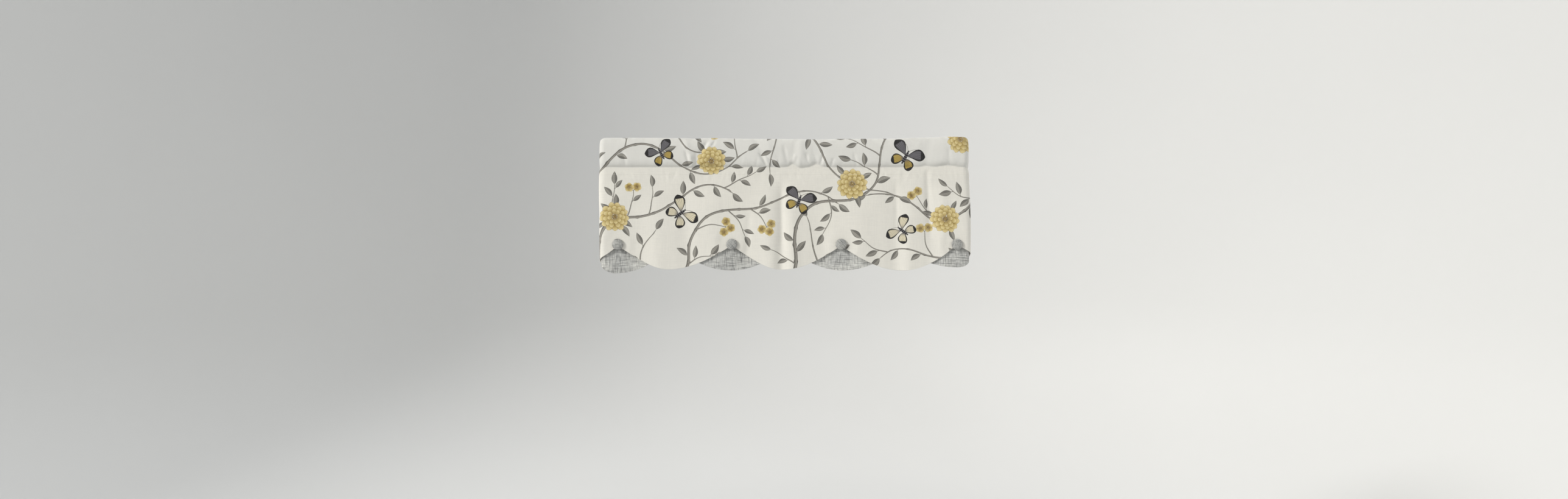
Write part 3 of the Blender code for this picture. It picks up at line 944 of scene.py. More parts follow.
BUTTON_LIGHT = (0.480, 0.478, 0.450)
BUTTON_GREY = (0.400, 0.400, 0.385)
STAGE_GREY = (0.580, 0.580, 0.571)
STAGE_LIGHT = (0.605, 0.605, 0.596)

SPECULAR = 0.25
SHEEN_ROUGHNESS = 0.5
CLOTH_MAP = "Cloth"
BAKE_MAP = "OFBake"
MOTIF_PLACE = "motif_place"
MOTIF_BOW = "motif_bow"
MOTIF_TONE = "motif_tone"
POCKET_SHADE_SHARE = "pocket_shade_share"
# Outputs of the Attribute node.
VECTOR, NUMBER = 1, 2


class Value:
    """A node's output. Reckoning with it as with a number adds Math nodes."""

    def __init__(self, tree, socket):
        self.tree = tree
        self.socket = socket

    def math(self, operation, *others):
        inputs = dict(enumerate((self, *others)))
        return add_node(self.tree, "ShaderNodeMath", inputs, operation=operation)

    __add__ = partialmethod(math, "ADD")
    __sub__ = partialmethod(math, "SUBTRACT")
    __mul__ = partialmethod(math, "MULTIPLY")
    __truediv__ = partialmethod(math, "DIVIDE")
    __pow__ = partialmethod(math, "POWER")
    __abs__ = partialmethod(math, "ABSOLUTE")

    def left(self):
        """What is left of 1."""
        return self.math("MULTIPLY_ADD", -1.0, 1.0)

    def stripes(self):
        """From 0 up to 0.5 and back, over and over, once for each 1 of the value."""
        return self.math("PINGPONG", 0.5)

    def step(self, low, high):
        """From 0 to 1 as the value goes from low to high, or from 1 to 0 where low is higher."""
        inputs = {"Value": self, "From Min": low, "From Max": high}
        kind = "SMOOTHSTEP"
        return add_node(self.tree, "ShaderNodeMapRange", inputs, interpolation_type=kind)

    def between(self, low, high, start=0.0, end=1.0):
        """From low to high as the value goes from start to end."""
        inputs = {"Value": self, "From Min": start, "From Max": end, "To Min": low, "To Max": high}
        return add_node(self.tree, "ShaderNodeMapRange", inputs)

    def part(self, number):
        """One of the three numbers of a vector."""
        return add_node(self.tree, "ShaderNodeSeparateXYZ", {0: self}, output=number)


def add_node(tree, kind, inputs, output=0, **settings):
    """Adds a node. inputs maps names or numbers of its sockets to values, numbers or colours."""
    node = tree.nodes.new(kind)
    for key, setting in settings.items():
        setattr(node, key, setting)
    for key, value in inputs.items():
        socket = node.inputs[key]
        if isinstance(value, Value):
            tree.links.new(value.socket, socket)
        elif socket.type == "RGBA":
            socket.default_value = (*value, 1.0)
        else:
            socket.default_value = value
    return Value(tree, node.outputs[output])


def mix(share, a, b):
    """Colour a where the share is 0 and colour b where it is 1."""
    inputs = {0: share, 6: a, 7: b}
    return add_node(share.tree, "ShaderNodeMix", inputs, output=2, data_type="RGBA")


class Surface:
    """A material under construction."""

    def __init__(self, name, sheen):
        self.material = bpy.data.materials.new(name)
        self.material.use_nodes = True
        self.tree = self.material.node_tree
        self.base = self.tree.nodes["Principled BSDF"]
        self.base.inputs["Sheen Weight"].default_value = sheen
        self.base.inputs["Sheen Roughness"].default_value = SHEEN_ROUGHNESS
        self.base.inputs["Specular IOR Level"].default_value = SPECULAR

    def place(self):
        """The place on the flat cloth, in metres."""
        return add_node(self.tree, "ShaderNodeUVMap", {}, uv_map=CLOTH_MAP)

    def room_place(self):
        """The place in the object's own space, in metres."""
        return add_node(self.tree, "ShaderNodeTexCoord", {}, output=3)

    def attribute(self, name, output):
        return add_node(self.tree, "ShaderNodeAttribute", {}, output, attribute_name=name)

    def noise(self, place_on_cloth, scale, detail=2.0, roughness=0.5):
        inputs = {"Vector": place_on_cloth, "Scale": scale, "Detail": detail,
                  "Roughness": roughness}
        return add_node(self.tree, "ShaderNodeTexNoise", inputs)

    def threads(self, run_scale, drop_scale, shift, detail=1.0, roughness=0.5):
        """Noise drawn out into threads: so many to the metre along the run and down the drop."""
        inputs = {"Vector": self.place(), "Location": (shift, shift, shift),
                  "Scale": (run_scale, drop_scale, 1.0)}
        stretched = add_node(self.tree, "ShaderNodeMapping", inputs)
        return self.noise(stretched, 1.0, detail, roughness)

    def link(self, name, value):
        self.tree.links.new(value.socket, self.base.inputs[name])

    def finish(self, colour, roughness, height, bump):
        """Links the colour, the roughness and the bump, and returns the material."""
        inputs = {"Height": height, "Strength": bump.strength, "Distance": bump.distance}
        self.link("Base Color", colour)
        self.link("Roughness", roughness)
        self.link("Normal", add_node(self.tree, "ShaderNodeBump", inputs))
        return self.material


Bump = namedtuple("Bump", "strength distance")

# Threads of the printed cloth: how many there are to the metre each way, and where their noise
# starts, for fine threads and for slubs.
WEAVE = table(
    "run_scale drop_scale shift",
    (1500, 70, 0.0),
    (70, 1500, 3.0),
    (480, 16, 7.0),
    (16, 480, 11.0),
)
WEAVE_BUMP = Bump(0.35, 0.0006)
THREAD_RANGE = (0.38, 0.62)
CLOUD_RANGE = (0.30, 0.70)
CLOUD_SCALE = 9.0
CLOUD_STRENGTH = 0.45
LIGHT_SHARE = 0.69
PRINTED_ROUGHNESS = (0.84, 0.95)
PLAIN_SHEEN = 0.10
PRINTED_SHEEN = 0.06
POCKET_SHADE_STRENGTH = 0.62
TOP_DARK_DROP = 0.022
TOP_DARK_SCALE = 45.0
TOP_DARK_RANGE = (0.42, 0.62)
TOP_DARK_STRENGTH = 0.22


def printed_cloth(name, light, shade, kind=None):
    """The printed cloth, with faint clouds of tone, and a motif's ink where it has a kind.

    The pocket's doubled cloth is painted a little greyer and cooler, a painted shade, and its top
    edge is darker in noisy patches."""
    surface = Surface(name, PRINTED_SHEEN if kind else PLAIN_SHEEN)
    on_cloth = surface.place()
    threads = [surface.threads(*row) for row in WEAVE]
    height = sum(threads[1:], threads[0]) * (1.0 / len(WEAVE))
    clouds = surface.noise(on_cloth, CLOUD_SCALE, detail=3.0).step(*CLOUD_RANGE)
    lightness = (height.step(*THREAD_RANGE) + clouds * CLOUD_STRENGTH) * LIGHT_SHARE
    colour = mix(lightness, shade, light)
    # Painted shade: the pocket band is mixed towards a greyer, cooler colour.
    painted_pocket_shade = surface.attribute(POCKET_SHADE_SHARE, NUMBER) * POCKET_SHADE_STRENGTH
    colour = mix(painted_pocket_shade, colour, POCKET_PAINTED_SHADE)
    # Darker in noisy patches within a short drop of the top edge.
    near_top = abs(on_cloth.part(1)).step(TOP_DARK_DROP, 0.0)
    top_darkening = near_top * surface.noise(on_cloth, TOP_DARK_SCALE, detail=4.0).step(*TOP_DARK_RANGE)
    colour = mix(top_darkening * TOP_DARK_STRENGTH, colour, TOP_EDGE_DARK)
    if kind:
        cover = height.between(INK_THIN, INK_FULL, *INK_HEIGHTS)
        colour = mix(cover, colour, motif_ink(surface, kind))
    return surface.finish(colour, clouds.between(*PRINTED_ROUGHNESS), height, WEAVE_BUMP)


def motif_place(surface, kind):
    """Share along a motif, its place across it, and its share of the way from rib to edge."""
    place_in_motif = surface.attribute(MOTIF_PLACE, VECTOR)
    along, across = place_in_motif.part(0), place_in_motif.part(1)
    if kind in BLADE_FORMS:
        form = BLADE_FORMS[kind]
        arch = along * 4.0 * along.left()
        across = across - surface.attribute(MOTIF_BOW, NUMBER) * arch
        turn = along ** form.widest * math.pi
        half = turn.math("SINE").math("MAXIMUM", 0.001) ** form.roundness
        edge = abs(across) / half
    elif kind == "heart":
        edge = (along * along + across * across).math("SQRT")
    else:
        edge = abs(across)
    return along, across, edge


# Each ink below draws a motif in its own colours, from the share along it, the place across it,
# the share of the way to its edge, and its tone. Steps and strengths are in those shares.

def stem_ink(surface, along, across, edge, tone):
    """Bark, lit from above and dark along its edges."""
    grain = surface.noise(surface.place(), 240.0)
    lit = mix((across + grain * 0.8).step(0.9, 0.1), STEM_MID, STEM_LIGHT)
    return mix(edge.step(0.52, 0.92), lit, STEM_DARK)


def leaf_ink(surface, along, across, edge, tone):
    """A leaf with one half lighter, a light midrib, slanting veins and a dark outline."""
    body = mix(across.step(-0.10, 0.10), LEAF_MID, LEAF_LIGHT)
    body = mix(tone * 0.45, body, LEAF_MID)
    veins = (along * 7.0 - abs(across) * 1.6).stripes().step(0.10, 0.0)
    body = mix(veins * 0.55, body, LEAF_DARK)
    rib = abs(across).step(0.12, 0.04)
    body = mix(rib * 0.8, body, LEAF_LIGHT)
    return mix(edge.step(0.74, 0.95), body, LEAF_DARK)


def petal_ink(surface, along, across, edge, tone):
    """A petal that lightens to its tip, with dark streaks at its root and a dark outline."""
    body = mix(along.step(0.05, 0.70), OCHRE_DARK, OCHRE_MID)
    body = mix(along.step(0.45, 0.95), body, OCHRE_LIGHT)
    body = mix(tone * 0.45, body, OCHRE_LIGHT)
    streaks = (across * 3.5).stripes().step(0.12, 0.0) * along.step(0.85, 0.30)
    body = mix(streaks * 0.5, body, OCHRE_DARK)
    line = edge.step(0.80, 0.96).math("MAXIMUM", along.step(0.955, 0.985))
    return mix(line * 0.85, body, OCHRE_DARK)


def heart_ink(surface, along, across, edge, tone):
    """The dotted middle of a flower."""
    inputs = {"Vector": surface.place(), "Scale": 520.0}
    dots = add_node(surface.tree, "ShaderNodeTexVoronoi", inputs)
    body = mix(dots.step(0.20, 0.45), OCHRE_LIGHT, OCHRE_DARK)
    return mix(edge.step(0.75, 0.95), body, STEM_DARK)


def wing_ink(inner_dark, surface, along, across, edge, tone):
    """A butterfly's wing: a dark margin, veins, and a middle that is pale where the tone is."""
    middle = mix(tone.step(0.4, 0.6), inner_dark, WING_CREAM)
    middle = mix(along.step(0.40, 0.05), middle, SLATE)
    turn = across.math("ARCTAN2", along * 1.8)
    middle = mix((turn * 4.2).stripes().step(0.09, 0.02), middle, CHARCOAL)
    margin = edge.step(0.66, 0.80).math("MAXIMUM", along.step(0.74, 0.80))
    return mix(margin, middle, CHARCOAL)


def body_ink(surface, along, across, edge, tone):
    return mix((along * 7.0).stripes().step(0.12, 0.25), SLATE, CHARCOAL)


INKS = {
    "stem": stem_ink,
    "leaf": leaf_ink,
    "petal": petal_ink,
    "blossom": petal_ink,
    "heart": heart_ink,
    "upper_wing": partial(wing_ink, SLATE),
    "lower_wing": partial(wing_ink, OCHRE_MID),
    "body": body_ink,
}
# How well the ink covers the cloth in the gaps between its threads and on top of them, and the
# weave's heights there.
INK_THIN = 0.86
INK_FULL = 0.985
INK_HEIGHTS = (0.28, 0.46)


def motif_ink(surface, kind):
    along, across, edge = motif_place(surface, kind)
    return INKS[kind](surface, along, across, edge, surface.attribute(MOTIF_TONE, NUMBER))


# Threads of the crosshatch cloth, from the widest streaks to the finest: how many there are to a
# metre across them and along them, where the noise turns dark, and how dark they get.
HATCH_THREADS = table(
    "across along dark_from dark_to strength",
    (230, 13, 0.40, 0.34, 0.50),
    (520, 20, 0.44, 0.37, 0.60),
    (900, 32, 0.49, 0.39, 0.42),
)
HATCH_ROUGHNESS = (0.86, 0.97)
HATCH_BUMP = Bump(0.4, 0.0010)
HATCH_SHEEN = 0.08
# The noise starts this far on for each row of the table, and for the threads the other way.
HATCH_ROW_SHIFT = 2.0
HATCH_TURN_SHIFT = 5.0
HATCH_CLOUD_SCALE = 14.0
HATCH_CLOUD_RANGE = (0.35, 0.65)


def crosshatch_cloth(name, grey, light):
    """Off-white cloth with dark slubby threads both ways."""
    surface = Surface(name, HATCH_SHEEN)
    gaps, heights = [], []
    for number, row in enumerate(HATCH_THREADS):
        for turn, scales in enumerate(((row.along, row.across), (row.across, row.along))):
            shift = HATCH_ROW_SHIFT * number + HATCH_TURN_SHIFT * turn
            threads = surface.threads(*scales, shift, detail=2.0, roughness=0.6)
            heights.append(threads)
            gaps.append((threads.step(row.dark_from, row.dark_to) * row.strength).left())
    bare = math.prod(gaps[1:], start=gaps[0])
    relief = sum(heights[1:], heights[0]) * (1.0 / len(heights))
    clouds = surface.noise(surface.place(), HATCH_CLOUD_SCALE, detail=3.0)
    ground = mix(clouds.step(*HATCH_CLOUD_RANGE), grey, light)
    colour = mix(bare, HATCH_DARK, ground)
    return surface.finish(colour, clouds.between(*HATCH_ROUGHNESS), relief, HATCH_BUMP)


THREAD_SHEEN = 0.2
THREAD_TWIST_SCALE = 900.0
THREAD_ROUGHNESS = (0.62, 0.80)
THREAD_BUMP = Bump(0.3, 0.0001)


def stitch_thread():
    """Twisted thread."""
    surface = Surface("stitch_thread", THREAD_SHEEN)
    twist = surface.noise(surface.room_place(), THREAD_TWIST_SCALE, detail=1.0)
    colour = mix(twist, CREAM_SHADE, THREAD)
    return surface.finish(colour, twist.between(*THREAD_ROUGHNESS), twist, THREAD_BUMP)


PAPER_ROUGHNESS = 0.95
PAPER_PATCH_SCALE = 0.6


def stage_paper():
    """The stage's matte paper, with faint patches."""
    surface = Surface("stage_paper", sheen=0.0)
    surface.base.inputs["Roughness"].default_value = PAPER_ROUGHNESS
    patches = surface.noise(surface.room_place(), PAPER_PATCH_SCALE)
    surface.link("Base Color", mix(patches, STAGE_GREY, STAGE_LIGHT))
    return surface.material


# ---------------------------------------------------------------- sheets of cloth as meshes

FRONT_SIDE, BACK_SIDE = 0, 1
# On the map for baking, the back is drawn at this share of the front's size, and there is this
# margin, in metres of cloth, round each strip.
BACK_SHARE = 0.62
BAKE_MARGIN = 0.010


def hem_outline(hem, scallops, top_drop):
    """Outline of a flat sheet as (run, drop): along its straight top, then back along its hem."""
    corners = {RUN_MIN, RUN_MAX, LEFT_BEND, RIGHT_BEND}
    for half in scallops:
        corners |= {run for run in (half.low_run, half.high_run) if RUN_MIN < run < RUN_MAX}
    corners = sorted(corners)
    runs = []
    for left, right in zip(corners, corners[1:]):
        count = max(1, round((right - left) / HEM_STEP))
        runs += [left + (right - left) * step / count for step in range(count)]
    runs = np.array(runs + [RUN_MAX])
    lower = np.stack((runs, hem(runs)), axis=1)
    upper = np.stack((runs, np.full(len(runs), top_drop)), axis=1)
    right_drops = np.linspace(top_drop, lower[-1][1], END_POINTS + 2)[1:-1]
    left_drops = np.linspace(lower[0][1], top_drop, END_POINTS + 2)[1:-1]
    right = [(RUN_MAX, drop) for drop in right_drops]
    left = [(RUN_MIN, drop) for drop in left_drops]
    return np.concatenate((upper, right, lower[::-1], left))


def inside_points(hem, top_drop, step, pocket_step=None):
    """Evenly spread points inside a flat sheet, closer together on the pocket."""
    runs = np.arange(RUN_MIN + EDGE_MARGIN, RUN_MAX - EDGE_MARGIN / 2, step)
    low = float(hem(runs).max())
    drops = []
    drop = top_drop + EDGE_MARGIN
    while drop < low:
        drops.append(drop)
        on_pocket = pocket_step is not None and abs(drop) < POCKET_ARC + POCKET_STEP_BELOW
        drop += pocket_step if on_pocket else step
    run, drop = np.meshgrid(runs, np.array(drops))
    run = run + (np.arange(len(drops)) % 2)[:, None] * step / 2
    run, drop = run.ravel(), drop.ravel()
    keep = (drop < hem(run) - EDGE_MARGIN) & (run < RUN_MAX - EDGE_MARGIN)
    return np.stack((run[keep], drop[keep]), axis=1)


def triangulate(outline, points, edges=(), motifs=()):
    """Triangles that fill an outline. Returns their corners' places, the triangles, which motif
    is on top in each, and the new number of each point of the outline."""
    verts = [Vector(p) for p in outline] + [Vector(p) for p in points]
    faces = [list(range(len(outline)))]
    links = []
    for line in edges:
        start = len(verts)
        verts += [Vector(p) for p in line]
        links += [(start + i, start + i + 1) for i in range(len(line) - 1)]
    for motif in motifs:
        start = len(verts)
        verts += [Vector(p) for p in motif.outline]
        faces.append(list(range(start, len(verts))))
    out = delaunay_2d_cdt(verts, links, faces, 1, 1e-6)
    flat = np.array([tuple(v) for v in out[0]])
    inside = [(face, max(ids)) for face, ids in zip(out[2], out[5]) if 0 in ids]
    triangles = np.array([face for face, _ in inside])
    on_top = np.array([top for _, top in inside])
    number = {}
    for index, originals in enumerate(out[3]):
        number.update(dict.fromkeys(originals, index))
    return flat, triangles, on_top, [number[i] for i in range(len(outline))]


def used_only(flat, triangles):
    """Drops the points that no triangle uses."""
    used = np.unique(triangles)
    renumber = np.full(len(flat), -1)
    renumber[used] = np.arange(len(used))
    return flat[used], renumber[triangles]


def flat_area(flat, triangles):
    a, b, c = (flat[triangles[:, corner]] for corner in range(3))
    return float(0.5 * np.abs(np.cross(b - a, c - a)).sum())


def border_loop(triangles):
    """The points round the edge of a set of triangles, in order."""
    used = {pair for a, b, c in triangles.tolist() for pair in ((a, b), (b, c), (c, a))}
    after = {a: b for a, b in used if (b, a) not in used}
    start = min(after)
    loop = [start]
    while after[loop[-1]] != start:
        loop.append(after[loop[-1]])
    return loop


def ring_quads(rings, sides, first=0):
    """Faces that join rings of points, numbered ring after ring from the first point."""
    faces = []
    for low in range(first, first + (rings - 1) * sides, sides):
        high = low + sides
        for k in range(sides):
            j = (k + 1) % sides
            faces.append((low + k, high + k, high + j, low + j))
    return faces


def add_object(name, verts, faces, material=None):
    """A smooth shaded object from its points and faces."""
    mesh = bpy.data.meshes.new(name)
    mesh.from_pydata(verts, [], faces)
    mesh.shade_smooth()
    if material is not None:
        mesh.materials.append(material)
    obj = bpy.data.objects.new(name, mesh)
    bpy.context.scene.collection.objects.link(obj)
    return obj


def make_sheet(name, point, thickness, flat, triangles, back_points):
    """A closed sheet of cloth from its flat printed side. Returns the object, the flat place of
    each of its vertices, and which side each face is on, printed side first."""
    loop = border_loop(triangles)
    edge = flat[loop]
    back_flat, back_triangles, _, border = triangulate(edge, back_points)
    along = np.roll(edge, -1, axis=0) - np.roll(edge, 1, axis=0)
    away = np.stack((along[:, 1], -along[:, 0]), axis=1)
    away /= np.linalg.norm(away, axis=1)[:, None]
    half = thickness / 2
    out = outward(point, *flat.T)
    back_out = outward(point, *back_flat.T)
    rim_verts = point(*(edge + away * RIM_BULGE).T)
    verts = (point(*flat.T) + out * half, point(*back_flat.T) - back_out * half, rim_verts)
    places = np.concatenate((flat, back_flat, edge + away * (half + RIM_BULGE)))
    back_start, rim_start = len(flat), len(flat) + len(back_flat)
    faces = [tuple(t) for t in triangles[:, ::-1].tolist()]
    faces += [tuple(t) for t in (back_triangles + back_start).tolist()]
    sides = [FRONT_SIDE] * len(triangles) + [BACK_SIDE] * len(back_triangles)
    count = len(loop)
    for i in range(count):
        j = (i + 1) % count
        rim_i, rim_j = rim_start + i, rim_start + j
        faces.append((loop[i], loop[j], rim_j, rim_i))
        faces.append((rim_i, rim_j, back_start + border[j], back_start + border[i]))
        sides += [FRONT_SIDE, BACK_SIDE]
    obj = add_object(name, np.concatenate(verts).tolist(), faces)
    set_normals(obj.data, np.concatenate((out, -back_out)))
    return obj, places, np.array(sides)


def corner_values(mesh):
    """For each corner of the mesh, its vertex and its face."""
    vertex = np.empty(len(mesh.loops), dtype=np.int32)
    mesh.loops.foreach_get("vertex_index", vertex)
    totals = np.empty(len(mesh.polygons), dtype=np.int32)
    mesh.polygons.foreach_get("loop_total", totals)
    return vertex, np.repeat(np.arange(len(totals)), totals)


def set_normals(mesh, square):
    """Shades the faces by the cloth's own directions at its vertices, and its rim flat."""
    vertex, face = corner_values(mesh)
    on_rim = np.bincount(face, weights=vertex >= len(square))[face] > 0
    flat = np.empty(3 * len(mesh.polygons), dtype=np.float32)
    mesh.polygons.foreach_get("normal", flat)
    normals = square[np.minimum(vertex, len(square) - 1)]
    normals[on_rim] = flat.reshape(-1, 3)[face[on_rim]]
    mesh.normals_split_custom_set(normals.tolist())


def add_uv(mesh, name, places):
    layer = mesh.uv_layers.new(name=name, do_init=False)
    layer.uv.foreach_set("vector", np.ascontiguousarray(places, dtype=np.float32).ravel())


def add_values(mesh, name, values):
    """Gives each corner of the mesh a number, or a vector where the values have rows."""
    as_rows = values.ndim > 1
    kind, field = ("FLOAT_VECTOR", "vector") if as_rows else ("FLOAT", "value")
    layer = mesh.attributes.new(name, kind, "CORNER")
    layer.data.foreach_set(field, values.astype(np.float32).ravel())


def add_sheet_maps(mesh, places, sides, strips):
    """The map in metres for the weave, and the one for baking: each side in stacked strips."""
    vertex, face = corner_values(mesh)
    at = places[vertex]
    add_uv(mesh, CLOTH_MAP, at)
    first, last = places.min(axis=0), places.max(axis=0)
    width = last[0] - first[0] + 2 * BAKE_MARGIN
    row = last[1] - first[1] + 2 * BAKE_MARGIN
    centre = np.bincount(face, weights=at[:, 0]) / np.bincount(face)
    strip = np.clip(((centre - first[0]) / width * strips).astype(int), 0, strips - 1)[face]
    on_back = (sides == BACK_SIDE)[face]
    scale = np.where(on_back, BACK_SHARE, 1.0)
    column = np.where(on_back, width / strips + 2 * BAKE_MARGIN, 0.0)
    u = at[:, 0] - first[0] - strip * width / strips + 2 * BAKE_MARGIN
    v = last[1] - at[:, 1] + strip * row + BAKE_MARGIN
    size = max(width / strips * (1 + BACK_SHARE) + 5 * BAKE_MARGIN, strips * row + BAKE_MARGIN)
    add_uv(mesh, BAKE_MAP, np.stack((u * scale + column, v * scale), axis=1) / size)


# ---------------------------------------------------------------- pieces

# The painted shade on the pocket's doubled cloth ends softly over this drop.
POCKET_SHADE_FADE = 0.004
PANEL_STRIPS = 2
PETTICOAT_STRIPS = 3
NO_MOTIF = Motif("ground", (), (0.0, 0.0), (1.0, 0.0), (0.0, 1.0), 0.0, 0.0)


def add_motif_values(mesh, places, on_top, motifs):
    """Gives each corner of the mesh its place in the motif on top there, the motif's bow and tone,
    and its share of the pocket's painted shade."""
    vertex, face = corner_values(mesh)
    top = np.zeros(len(mesh.polygons), dtype=np.int32)
    top[:len(on_top)] = on_top
    rows = (NO_MOTIF, *motifs)
    origin, along, across, bow, tone = (
        np.array([getattr(row, field) for row in rows])[top[face]]
        for field in ("origin", "along", "across", "bow", "tone"))
    reach = places[vertex] - origin
    p = (reach * along).sum(axis=1) / (along ** 2).sum(axis=1)
    q = (reach * across).sum(axis=1) / (across ** 2).sum(axis=1)
    # The share of the pocket band's painted shade, ending softly at the pocket's bottom line.
    pocket = smooth((pocket_line(places[:, 0]) + POCKET_SHADE_FADE / 2 - places[:, 1]) / POCKET_SHADE_FADE)
    add_values(mesh, MOTIF_PLACE, np.stack((p, q, 0.0 * p), axis=1))
    add_values(mesh, MOTIF_BOW, bow)
    add_values(mesh, MOTIF_TONE, tone)
    add_values(mesh, POCKET_SHADE_SHARE, pocket[vertex])


def make_printed_panel():
    """The front panel, with its print, turned down behind the rod to make the pocket."""
    motifs = lay_out_print()
    outline = hem_outline(panel_hem, FRONT_HEM, FLAP_EDGE)
    points = inside_points(panel_hem, FLAP_EDGE, FINE_STEP, POCKET_STEP)
    to_bend = np.abs(np.abs(points[:, 1]) - pocket_line(points[:, 0]))
    points = points[np.minimum(to_bend, np.abs(points[:, 1])) > EDGE_MARGIN]
    runs = np.arange(RUN_MIN + EDGE_MARGIN, RUN_MAX - EDGE_MARGIN / 2, BEND_STEP)
    bends = [np.stack((runs, share * pocket_line(runs)), axis=1) for share in (-1, 0, 1)]
    flat, triangles, on_top, _ = triangulate(outline, points, bends, motifs)
    flat, triangles = used_only(flat, triangles)
    back_points = inside_points(panel_hem, FLAP_EDGE, BACK_STEP, BACK_STEP / 2)
    obj, places, sides = make_sheet("printed_panel", panel_point, FRONT_THICKNESS, flat,
                                    triangles, back_points)
    mesh = obj.data
    mesh.materials.append(printed_cloth("printed_ground", CREAM, CREAM_SHADE))
    for kind in INKS:
        mesh.materials.append(printed_cloth(f"print_{kind}", CREAM, CREAM_SHADE, kind))
    mesh.materials.append(printed_cloth("print_reverse", REVERSE, CREAM_SHADE))
    slot = {kind: index for index, kind in enumerate((NO_MOTIF.kind, *INKS))}
    motif_slot = np.array([slot[row.kind] for row in (NO_MOTIF, *motifs)])
    slots = np.where(sides == BACK_SIDE, len(slot), 0)
    slots[:len(triangles)] = motif_slot[on_top]
    mesh.polygons.foreach_set("material_index", slots)
    add_sheet_maps(mesh, places, sides, PANEL_STRIPS)
    add_motif_values(mesh, places, on_top, motifs)
    mesh.update()
    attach(obj, BODY)
    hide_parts("front_panel")
    return obj, flat_area(flat, triangles)


def make_petticoat():
    """The crosshatch panel that hangs behind the front one and shows below it."""
    outline = hem_outline(petticoat_hem, PETTICOAT_HEM, 0.0)
    points = inside_points(petticoat_hem, 0.0, FINE_STEP)
    flat, triangles, _, _ = triangulate(outline, points)
    flat, triangles = used_only(flat, triangles)
    back_points = inside_points(petticoat_hem, 0.0, BACK_STEP)
    obj, places, sides = make_sheet("crosshatch_petticoat", petticoat_point, PETTICOAT_THICKNESS,
                                    flat, triangles, back_points)
    obj.data.materials.append(crosshatch_cloth("crosshatch_cloth", HATCH_GREY, HATCH_LIGHT))
    add_sheet_maps(obj.data, places, sides, PETTICOAT_STRIPS)
    obj.data.update()
    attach(obj, BODY)
    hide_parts("petticoat")
    return obj, flat_area(flat, triangles)


BUTTON_SIDES = 72
BUTTON_RINGS = 15
# The rim takes up this share of the rings and the dome the rest, up to an angle near its crown.
RIM_SHARE = 0.2
CROWN_ANGLE = math.radians(84)
DOME_SHAPE = 0.8
# Waves of the tucks round a button and their shares. The tucks are deepest at its back, have this
# share of their depth where the rim meets the dome, and end on the dome at this angle.
BUTTON_TUCKS = ((17, 0.6), (23, 0.4))
BUTTON_TUCK_DEPTH = 0.00035
DOME_TUCK_SHARE = 0.4
TUCK_END_ANGLE = 0.9
BUTTON_SLUBS = 3
BUTTON_SLUB_DEPTH = 0.00012
# How the cloth on a button is turned, in degrees, how much it is stretched over it, how far it
# goes on down the rim, and how far apart on the cloth the buttons' pieces are cut.
BUTTON_TURNS = (2, 45, 40, -15)
BUTTON_CLOTH_SCALE = 1.25
BUTTON_RIM_CLOTH = 0.010
BUTTON_CUT_STEP = 0.37


def button_profile(share):
    """Radius, height and share of the tucks' depth, a share of the way from back to crown."""
    if share < RIM_SHARE:
        rise = share / RIM_SHARE
        swell = (BUTTON_RADIUS - BUTTON_BACK_RADIUS) * math.sin(rise * math.pi / 2)
        tucked = DOME_TUCK_SHARE + (1.0 - DOME_TUCK_SHARE) * (1.0 - rise)
        return BUTTON_BACK_RADIUS + swell, BUTTON_RIM * rise, tucked
    angle = (share - RIM_SHARE) / (1.0 - RIM_SHARE) * CROWN_ANGLE
    height = BUTTON_RIM + (BUTTON_HEIGHT - BUTTON_RIM) * math.sin(angle)
    tucked = DOME_TUCK_SHARE * max(0.0, 1.0 - angle / TUCK_END_ANGLE)
    return BUTTON_RADIUS * math.cos(angle) ** DOME_SHAPE, height, tucked


def make_button(number, cloth):
    """A domed button covered in cloth, drawn in round its rim in small tucks."""
    lo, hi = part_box(f"button_{number}")
    centre = np.array(((lo[0] + hi[0]) / 2, hi[1], (lo[2] + hi[2]) / 2))
    rng = random.Random(number)
    turn = np.linspace(0, 2 * math.pi, BUTTON_SIDES, endpoint=False)
    tucks = sum(share * np.sin(waves * turn + rng.uniform(0, 2 * math.pi))
                for waves, share in BUTTON_TUCKS)
    slubs = BUTTON_SLUB_DEPTH * np.sin(BUTTON_SLUBS * turn + rng.uniform(0, 2 * math.pi))
    skewed = turn - math.radians(BUTTON_TURNS[number - 1])
    rings, places = [], []
    for share in np.arange(BUTTON_RINGS + 1) / BUTTON_RINGS:
        radius, height, tucked = button_profile(share)
        reach = radius - BUTTON_TUCK_DEPTH * tucked * (1.0 - tucks)
        out = height + slubs * share * radius / BUTTON_RADIUS
        rings.append(np.stack((reach * np.cos(turn), -out, reach * np.sin(turn)), axis=1))
        spread = BUTTON_CLOTH_SCALE * (radius + BUTTON_RIM_CLOTH * max(0.0, RIM_SHARE - share))
        places.append(spread * np.stack((np.cos(skewed), np.sin(skewed)), axis=1))
    verts = np.concatenate((*rings, [(0.0, 0.0, 0.0), (0.0, -BUTTON_HEIGHT, 0.0)])) + centre
    places = np.concatenate((*places, np.zeros((2, 2)))) + BUTTON_CUT_STEP * number
    faces = [(a, d, c, b) for a, b, c, d in ring_quads(len(rings), BUTTON_SIDES)]
    back, crown = len(verts) - 2, len(verts) - 1
    last = BUTTON_RINGS * BUTTON_SIDES
    for k in range(BUTTON_SIDES):
        j = (k + 1) % BUTTON_SIDES
        faces += [(back, j, k), (crown, last + k, last + j)]
    obj = add_object(f"covered_button_{number}", verts.tolist(), faces, cloth)
    vertex, _ = corner_values(obj.data)
    add_uv(obj.data, CLOTH_MAP, places[vertex])
    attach(obj, BODY)
    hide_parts(f"button_{number}")
    return obj


STITCH_LENGTH = 0.0027
STITCH_PITCH = 0.0036
STITCH_MARGIN = 0.004
STITCH_STEPS = (-0.5, -0.3, 0.0, 0.3, 0.5)
STITCH_SIDES = 6
# In shares of a stitch's radius, it arches up this far, sinks in this far and is this thick at
# its ends.
STITCH_RADIUS = 0.00028
STITCH_ARCH = 1.1
STITCH_SUNK = 0.35
STITCH_END = 0.35


